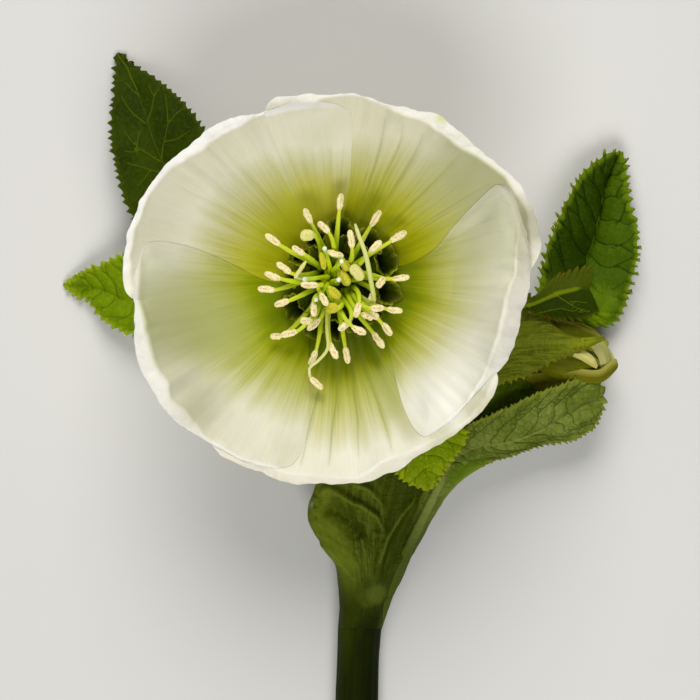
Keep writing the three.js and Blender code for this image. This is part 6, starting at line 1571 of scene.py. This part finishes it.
bud_piece("bud_band", "bud_inner_sepals", bud_strap,
          [(583, 337, 9.4), (593, 338, 9.6), (602, 341, 9.2), (608, 349, 8.8), (610.5, 358, 8.6), (608, 368, 8.9)],
          [(580, 345, 11.0), (587, 345.5, 11.1), (592, 349, 11.0), (596.5, 355, 10.8), (599.5, 362, 10.4), (601.5, 370, 9.9)],
          0.75, 0.6)
bud_piece("bud_fold", "bud_inner_sepals", bud_flap,
          [(566, 351.5, 12.4), (574, 350, 12.6), (582, 350, 12.4), (589.5, 353.5, 12.0), (595, 359.5, 11.5), (597.5, 366, 11.0)],
          [(566.5, 352.5, 12.4), (571, 355, 12.3), (576, 357.5, 12.1), (581.5, 360, 11.8), (588, 364, 11.4), (596, 368.5, 11.0)],
          0.45, 0.55)
bud_piece("bud_corner", "bud_inner_sepals", bud_flap,
          [(556, 331, 11.4), (564, 334, 11.5), (572, 338, 11.5), (580, 343, 11.4)],
          [(558, 337, 11.8), (564, 340, 11.9), (571, 343, 11.9), (579, 345, 11.6)], 0.2, 0.4)
bud_piece("bud_tongue", "bud_sepal_lower", bud_tongue,
          [(546, 369, 9.8), (562, 368, 10.6), (577, 368, 11.1), (590, 370, 11.2), (600, 369, 10.9), (607, 364, 10.5), (611.5, 360, 10.2), (615.5, 359, 9.8), (617.2, 361.5, 9.5)],
          [(546, 386, 8.2), (562, 385, 8.8), (577, 383, 9.3), (590, 382.5, 9.4), (598, 382.5, 9.0), (604, 379.5, 8.7), (610, 374, 8.5), (614.5, 368, 8.7), (617.3, 362.5, 9.3)],
          0.7, 0.7)
bud_piece("bud_side", "bud_sepal_lower", bud_deep,
          [(500, 376, 8.0), (525, 374, 8.8), (550, 372, 9.2), (572, 372, 9.4), (592, 375, 9.2), (604, 378, 8.6)],
          [(500, 400, 5.0), (528, 397, 5.2), (552, 392, 5.8), (574, 386, 6.6), (592, 383, 7.6), (604, 380, 8.3)],
          1.0, 0.8)
bud_piece("bud_top", "bud_sepal_upper", bud_olive,
          [(536, 316, 9.2), (551, 316.5, 10.0), (566, 320.5, 10.4), (580, 326, 10.4), (592, 332, 10.2), (602, 338.5, 9.6)],
          [(536, 334, 10.6), (552, 336, 11.4), (566, 339, 11.7), (579, 342, 11.6), (591, 343.5, 11.1), (600, 345, 10.5)],
          0.35, 0.4)
tt = np.linspace(0.03, 1.0, 60)
th = 2 * np.pi * np.arange(48) / 48
body = bud_point(tt[:, None], th[None, :] + 0.25 * tt[:, None], 0.62 - 0.30 * smooth(0.8, 1.0, tt)[:, None]
                 + 0.16 * np.abs(np.sin(1.5 * th))[None, :] * smooth(0.4, 0.9, tt)[:, None])
verts = np.vstack([body.reshape(-1, 3), body[0].mean(0), body[-1].mean(0)])
ii = np.arange(48)
jj = (ii + 1) % 48
k0 = 60 * 48
tris = np.vstack([np.stack([np.full(48, k0), jj, ii], -1), np.stack([np.full(48, k0 + 1), 59 * 48 + ii, 59 * 48 + jj], -1)])
uv = np.stack([np.broadcast_to(th / (2 * np.pi), (60, 48)), np.broadcast_to(tt[:, None], (60, 48))], -1).reshape(-1, 2)
ed = np.stack([np.full((60, 48), 3.0), np.broadcast_to(tt[:, None], (60, 48))], -1).reshape(-1, 2)
ob = add_mesh("bud_inner_fine", verts, grid_faces(60, 48, closed=True), tris,
              {"bud_uv": np.vstack([uv, [[0.5, 0.03]], [[0.5, 1.0]]]), "bud_edge": np.vstack([ed, [[3, 0.03]], [[3, 1.0]]])},
              [bud_cream])
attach(ob, "root")
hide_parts("bud_inner_sepals")


# ------------------------------------------------------------------ the stem
def stem_material():
    m = Mat("stem_skin", Roughness=0.5, Specular_IOR_Level=0.04, Subsurface_Weight=0.04, Subsurface_Scale=0.0006)
    m.bsdf.inputs["Subsurface Radius"].default_value = (0.6, 1.0, 0.2)
    ang, ln = m.uv("stem_uv")
    kind, cut = m.uv("stem_kind")
    s = m.noise(m.vec(m.mul(ang, 30.0), m.mul(ln, 0.05)), 1.0, 3.0, 0.6)
    s2 = m.noise(m.vec(m.mul(ang, 90.0), m.mul(ln, 0.12)), 1.0, 2.0, 0.6)
    blot = m.noise(m.vec(m.mul(ang, 5.0), m.mul(ln, 0.16)), 1.0, 3.0)
    c = m.mix(m.step(blot, 0.35, 0.68), srgb(28, 36, 0), srgb(38, 47, 0))
    c = m.mix(m.mul(m.step(s, 0.42, 0.66), 0.5), c, srgb(48, 59, 2))
    c = m.mix(m.mul(m.step(s2, 0.5, 0.7), 0.20), c, srgb(62, 74, 8))
    c = m.mix(m.mul(m.step(kind, 0.2, 0.9), 0.6), c, srgb(86, 110, 10))
    # painted light: the stem's left side is lighter, fading out down the stem from the sheath, a painted highlight; its
    # right side is darker, painted shade; the stem also darkens further from the flower
    sep = m.node("ShaderNodeSeparateXYZ")
    m.t.links.new(m.place(), sep.inputs[0])
    c = m.mix(m.mul(m.step(sep.outputs[0], 0.0012, -0.0014, 0.0, 0.75), m.step(sep.outputs[1], -0.036, -0.012)), c, srgb(64, 79, 0))
    c = m.mix(m.step(sep.outputs[0], 0.0002, 0.0036, 0.0, 0.60), c, srgb(15, 20, 0))
    c = m.mix(m.step(sep.outputs[1], -0.0125, -0.030, 0.0, 0.55), c, srgb(12, 17, 0))
    pith = m.mix(m.step(cut, 0.45, 0.80), srgb(206, 214, 160), srgb(132, 152, 64))
    c = m.mix(m.step(cut, 0.0, 0.02), c, pith)
    m.colour(c)
    m.bump(m.add(m.mul(s, 0.8), m.mul(s2, 0.35)), 0.00022, 0.7)
    return m.m


TUBES = [
    ("main", [[352, 975, 3.72, 3.7], [354, 850, 3.72, 3.7], [357, 700, 3.74, 3.7], [359, 640, 3.8, 3.75],
              [363, 600, 4.0, 3.95], [366, 575, 4.3, 4.2], [363, 548, 5.0, 3.3], [355, 512, 5.8, 2.6],
              [348, 470, 6.2, 2.25]]),
    ("pedicel", [[349, 476, 6.15, 2.1], [345, 440, 6.4, 2.25], [340, 380, 6.9, 2.2], [337, 335, 7.4, 2.2],
                 [336.5, 308, 8.2, 2.3], [336.2, 290, 9.6, 2.5], [336, 281, 11.2, 3.0], [336, 280, 12.6, 3.8]]),
    ("branch", [[369, 565, 4.8, 2.9], [395, 522, 5.0, 2.4], [430, 466, 5.2, 2.0], [465, 410, 5.4, 1.9],
                [494, 370, 5.8, 1.9], [509, 350, 6.2, 2.0], [521, 346, 6.3, 2.1]]),
    ("stalk", [[494, 372, 6.2, 1.2], [508, 340, 7.2, 1.2], [520, 316, 8.4, 1.1], [531, 309, 8.6, 0.9]]),
    ("stalk", [[505, 345, 6.8, 1.1], [517, 308, 9.2, 0.9], [525, 301, 12.4, 0.8]]),
    ("stalk", [[474, 396, 5.8, 1.1], [482, 372, 8.2, 1.0], [489, 352, 10.4, 0.9]]),
    ("stalk", [[432, 463, 5.6, 1.1], [425, 435, 9.6, 1.0], [421, 412, 12.6, 0.9], [421, 402, 13.9, 0.8]]),
    ("stalk", [[342, 408, 6.6, 1.3], [300, 350, 5.4, 1.3], [252, 308, 5.2, 1.2], [212, 279, 5.4, 1.0]]),
]
bag = Bag()
centre_pts, centre_len, centre_kind, centre_a, centre_b = [], [], [], [], []
for k, (kind, rows) in enumerate(TUBES):
    full = np.array([[*at(u, v, z), r] for u, v, z, r in rows])
    fine = along(spline(full, np.linspace(0, 1, 400)), np.linspace(0, 1, 120))
    path, rad = fine[:, :3], fine[:, 3]
    v, q, tr, uv = tube_mesh(path, rad, 28, True)
    if kind == "main":
        v[:28, 1] -= (v[:28, 2] - 3.7 + ORIGIN[2]) * 0.55
        v[-2] = v[:28].mean(0)
    bag.add(v, q, tr, uv)
    t_, a_, b_ = frames_of(path)
    centre_pts.append(path)
    centre_len.append(np.r_[0, np.cumsum(np.linalg.norm(np.diff(path, axis=0), axis=1))] + 200 * k)
    centre_kind.append(np.full(len(path), {"main": 0.0, "pedicel": 0.5, "branch": 0.6, "stalk": 1.0}[kind]))
    centre_a.append(a_)
    centre_b.append(b_)
mid = at(BASE_U, BASE_V, BASE_Z)
th = 2 * np.pi * np.arange(40) / 40
dome = [np.stack([mid[0] + r * np.cos(th), mid[1] + r * np.sin(th), np.full(40, BASE_Z + z - ORIGIN[2])], -1)
        for r, z in ((2.2, -3.6), (5.7, -2.6), (6.3, -2.25), (6.3, -1.95), (4.4, -1.8), (4.2, -1.5), (4.2, 0.1), (4.05, 0.45),
                     (3.6, 0.7), (2.0, 0.8))]
v = np.vstack(dome + [dome[0].mean(0)[None], dome[-1].mean(0)[None]])
ii = np.arange(40)
jj = (ii + 1) % 40
n_ = len(dome) * 40
bag.add(v, grid_faces(len(dome), 40, closed=True),
        np.vstack([np.stack([np.full(40, n_), jj, ii], -1),
                   np.stack([np.full(40, n_ + 1), n_ - 40 + ii, n_ - 40 + jj], -1)]), np.zeros((len(v), 2)))
raw = bag.make("stem_raw", [], "stem_uv")
mod = raw.modifiers.new("skin", "REMESH")
mod.mode, mod.voxel_size, mod.adaptivity = "VOXEL", 0.0004, 0.0
dg = bpy.context.evaluated_depsgraph_get()
me = bpy.data.meshes.new_from_object(raw.evaluated_get(dg))
bpy.data.objects.remove(raw)
nv = len(me.vertices)
co = np.empty(nv * 3)
me.vertices.foreach_get("co", co)
co = co.reshape(-1, 3) * 1000
nf = len(me.polygons)
fv = np.empty(nf * 4, np.int32)
me.loops.foreach_get("vertex_index", fv)
fv = fv.reshape(-1, 4)
ed = np.vstack([fv[:, [0, 1]], fv[:, [1, 2]], fv[:, [2, 3]], fv[:, [3, 0]]])
ed = np.unique(np.sort(ed, axis=1), axis=0)
deg = np.bincount(ed.ravel(), minlength=nv).astype(float)


def relax(p, weight, times):
    for _ in range(times):
        s = np.zeros_like(p)
        np.add.at(s, ed[:, 0], p[ed[:, 1]])
        np.add.at(s, ed[:, 1], p[ed[:, 0]])
        p = p + weight[:, None] * (s / deg[:, None] - p)
    return p


from mathutils.kdtree import KDTree
cp = np.vstack(centre_pts)
cl, ck = np.concatenate(centre_len), np.concatenate(centre_kind)
ca, cb = np.vstack(centre_a), np.vstack(centre_b)
kd = KDTree(len(cp))
for i, p_ in enumerate(cp):
    kd.insert(p_, i)
kd.balance()
near = np.array([kd.find(p_)[1] for p_ in co])
far_end = co[:, 1] < co[:, 1].min() + 6.0
keep = smooth(0.5, 2.0, co[:, 1] - co[:, 1].min() - 4.0)
near_node = np.exp(-((co[:, 1] - at(0, 560, 5)[1]) / 9.0) ** 2)
co = relax(co, 0.5 * np.maximum(keep, 0.0), 5)
co = relax(co, 0.6 * near_node, 18)
rel = co - cp[near]
ang = np.arctan2((rel * cb[near]).sum(1), (rel * ca[near]).sum(1))
nrm = unit(rel - (rel * unit(np.cross(ca[near], cb[near]))).sum(1, keepdims=True) * unit(np.cross(ca[near], cb[near])))
is_main = ck[near] < 0.1
ridge = 0.055 * np.cos(ang * 9 + 1.3 * np.sin(cl[near] * 0.05)) + 0.03 * np.cos(ang * 17 + 0.8 * np.sin(cl[near] * 0.08))
ridge = ridge + 0.10 * fbm2(cl[near] / 14, ang * 1.2 + 40, 77, 2)
cutface = (co[:, 1] < -82.53 + 4.2) & (np.linalg.norm(rel, axis=1) < 3.3)
co = co + nrm * (ridge * keep * np.where(is_main, 1.0, 0.45))[:, None]
co[:, 2] = np.maximum(co[:, 2], 0.0)
# the slanted cut
main = centre_pts[0]
plane = main[0, 1] - (co[:, 2] - 3.7 + ORIGIN[2]) * 0.55
on_cut = np.abs(co[:, 1] - plane) < 0.25
co[on_cut, 1] = plane[on_cut]
r_cut = np.hypot(co[:, 0] - main[0, 0], co[:, 2] - main[0, 2]) / 3.7
uvv = np.stack([(ang / (2 * np.pi)) % 1.0, cl[near]], -1)
# the angle wraps round: mirror it so that no face spans the seam
uvv[:, 0] = np.abs(((uvv[:, 0] * 2) % 2) - 1)
kindv = np.stack([ck[near], np.where(on_cut, 0.05 + r_cut * 0.95, 0.0)], -1)
bpy.data.meshes.remove(me)
ob = add_mesh("stem_skin", co, fv, uvs={"stem_uv": uvv, "stem_kind": kindv}, mats=[stem_material()])
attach(ob, "root")
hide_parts("stem")
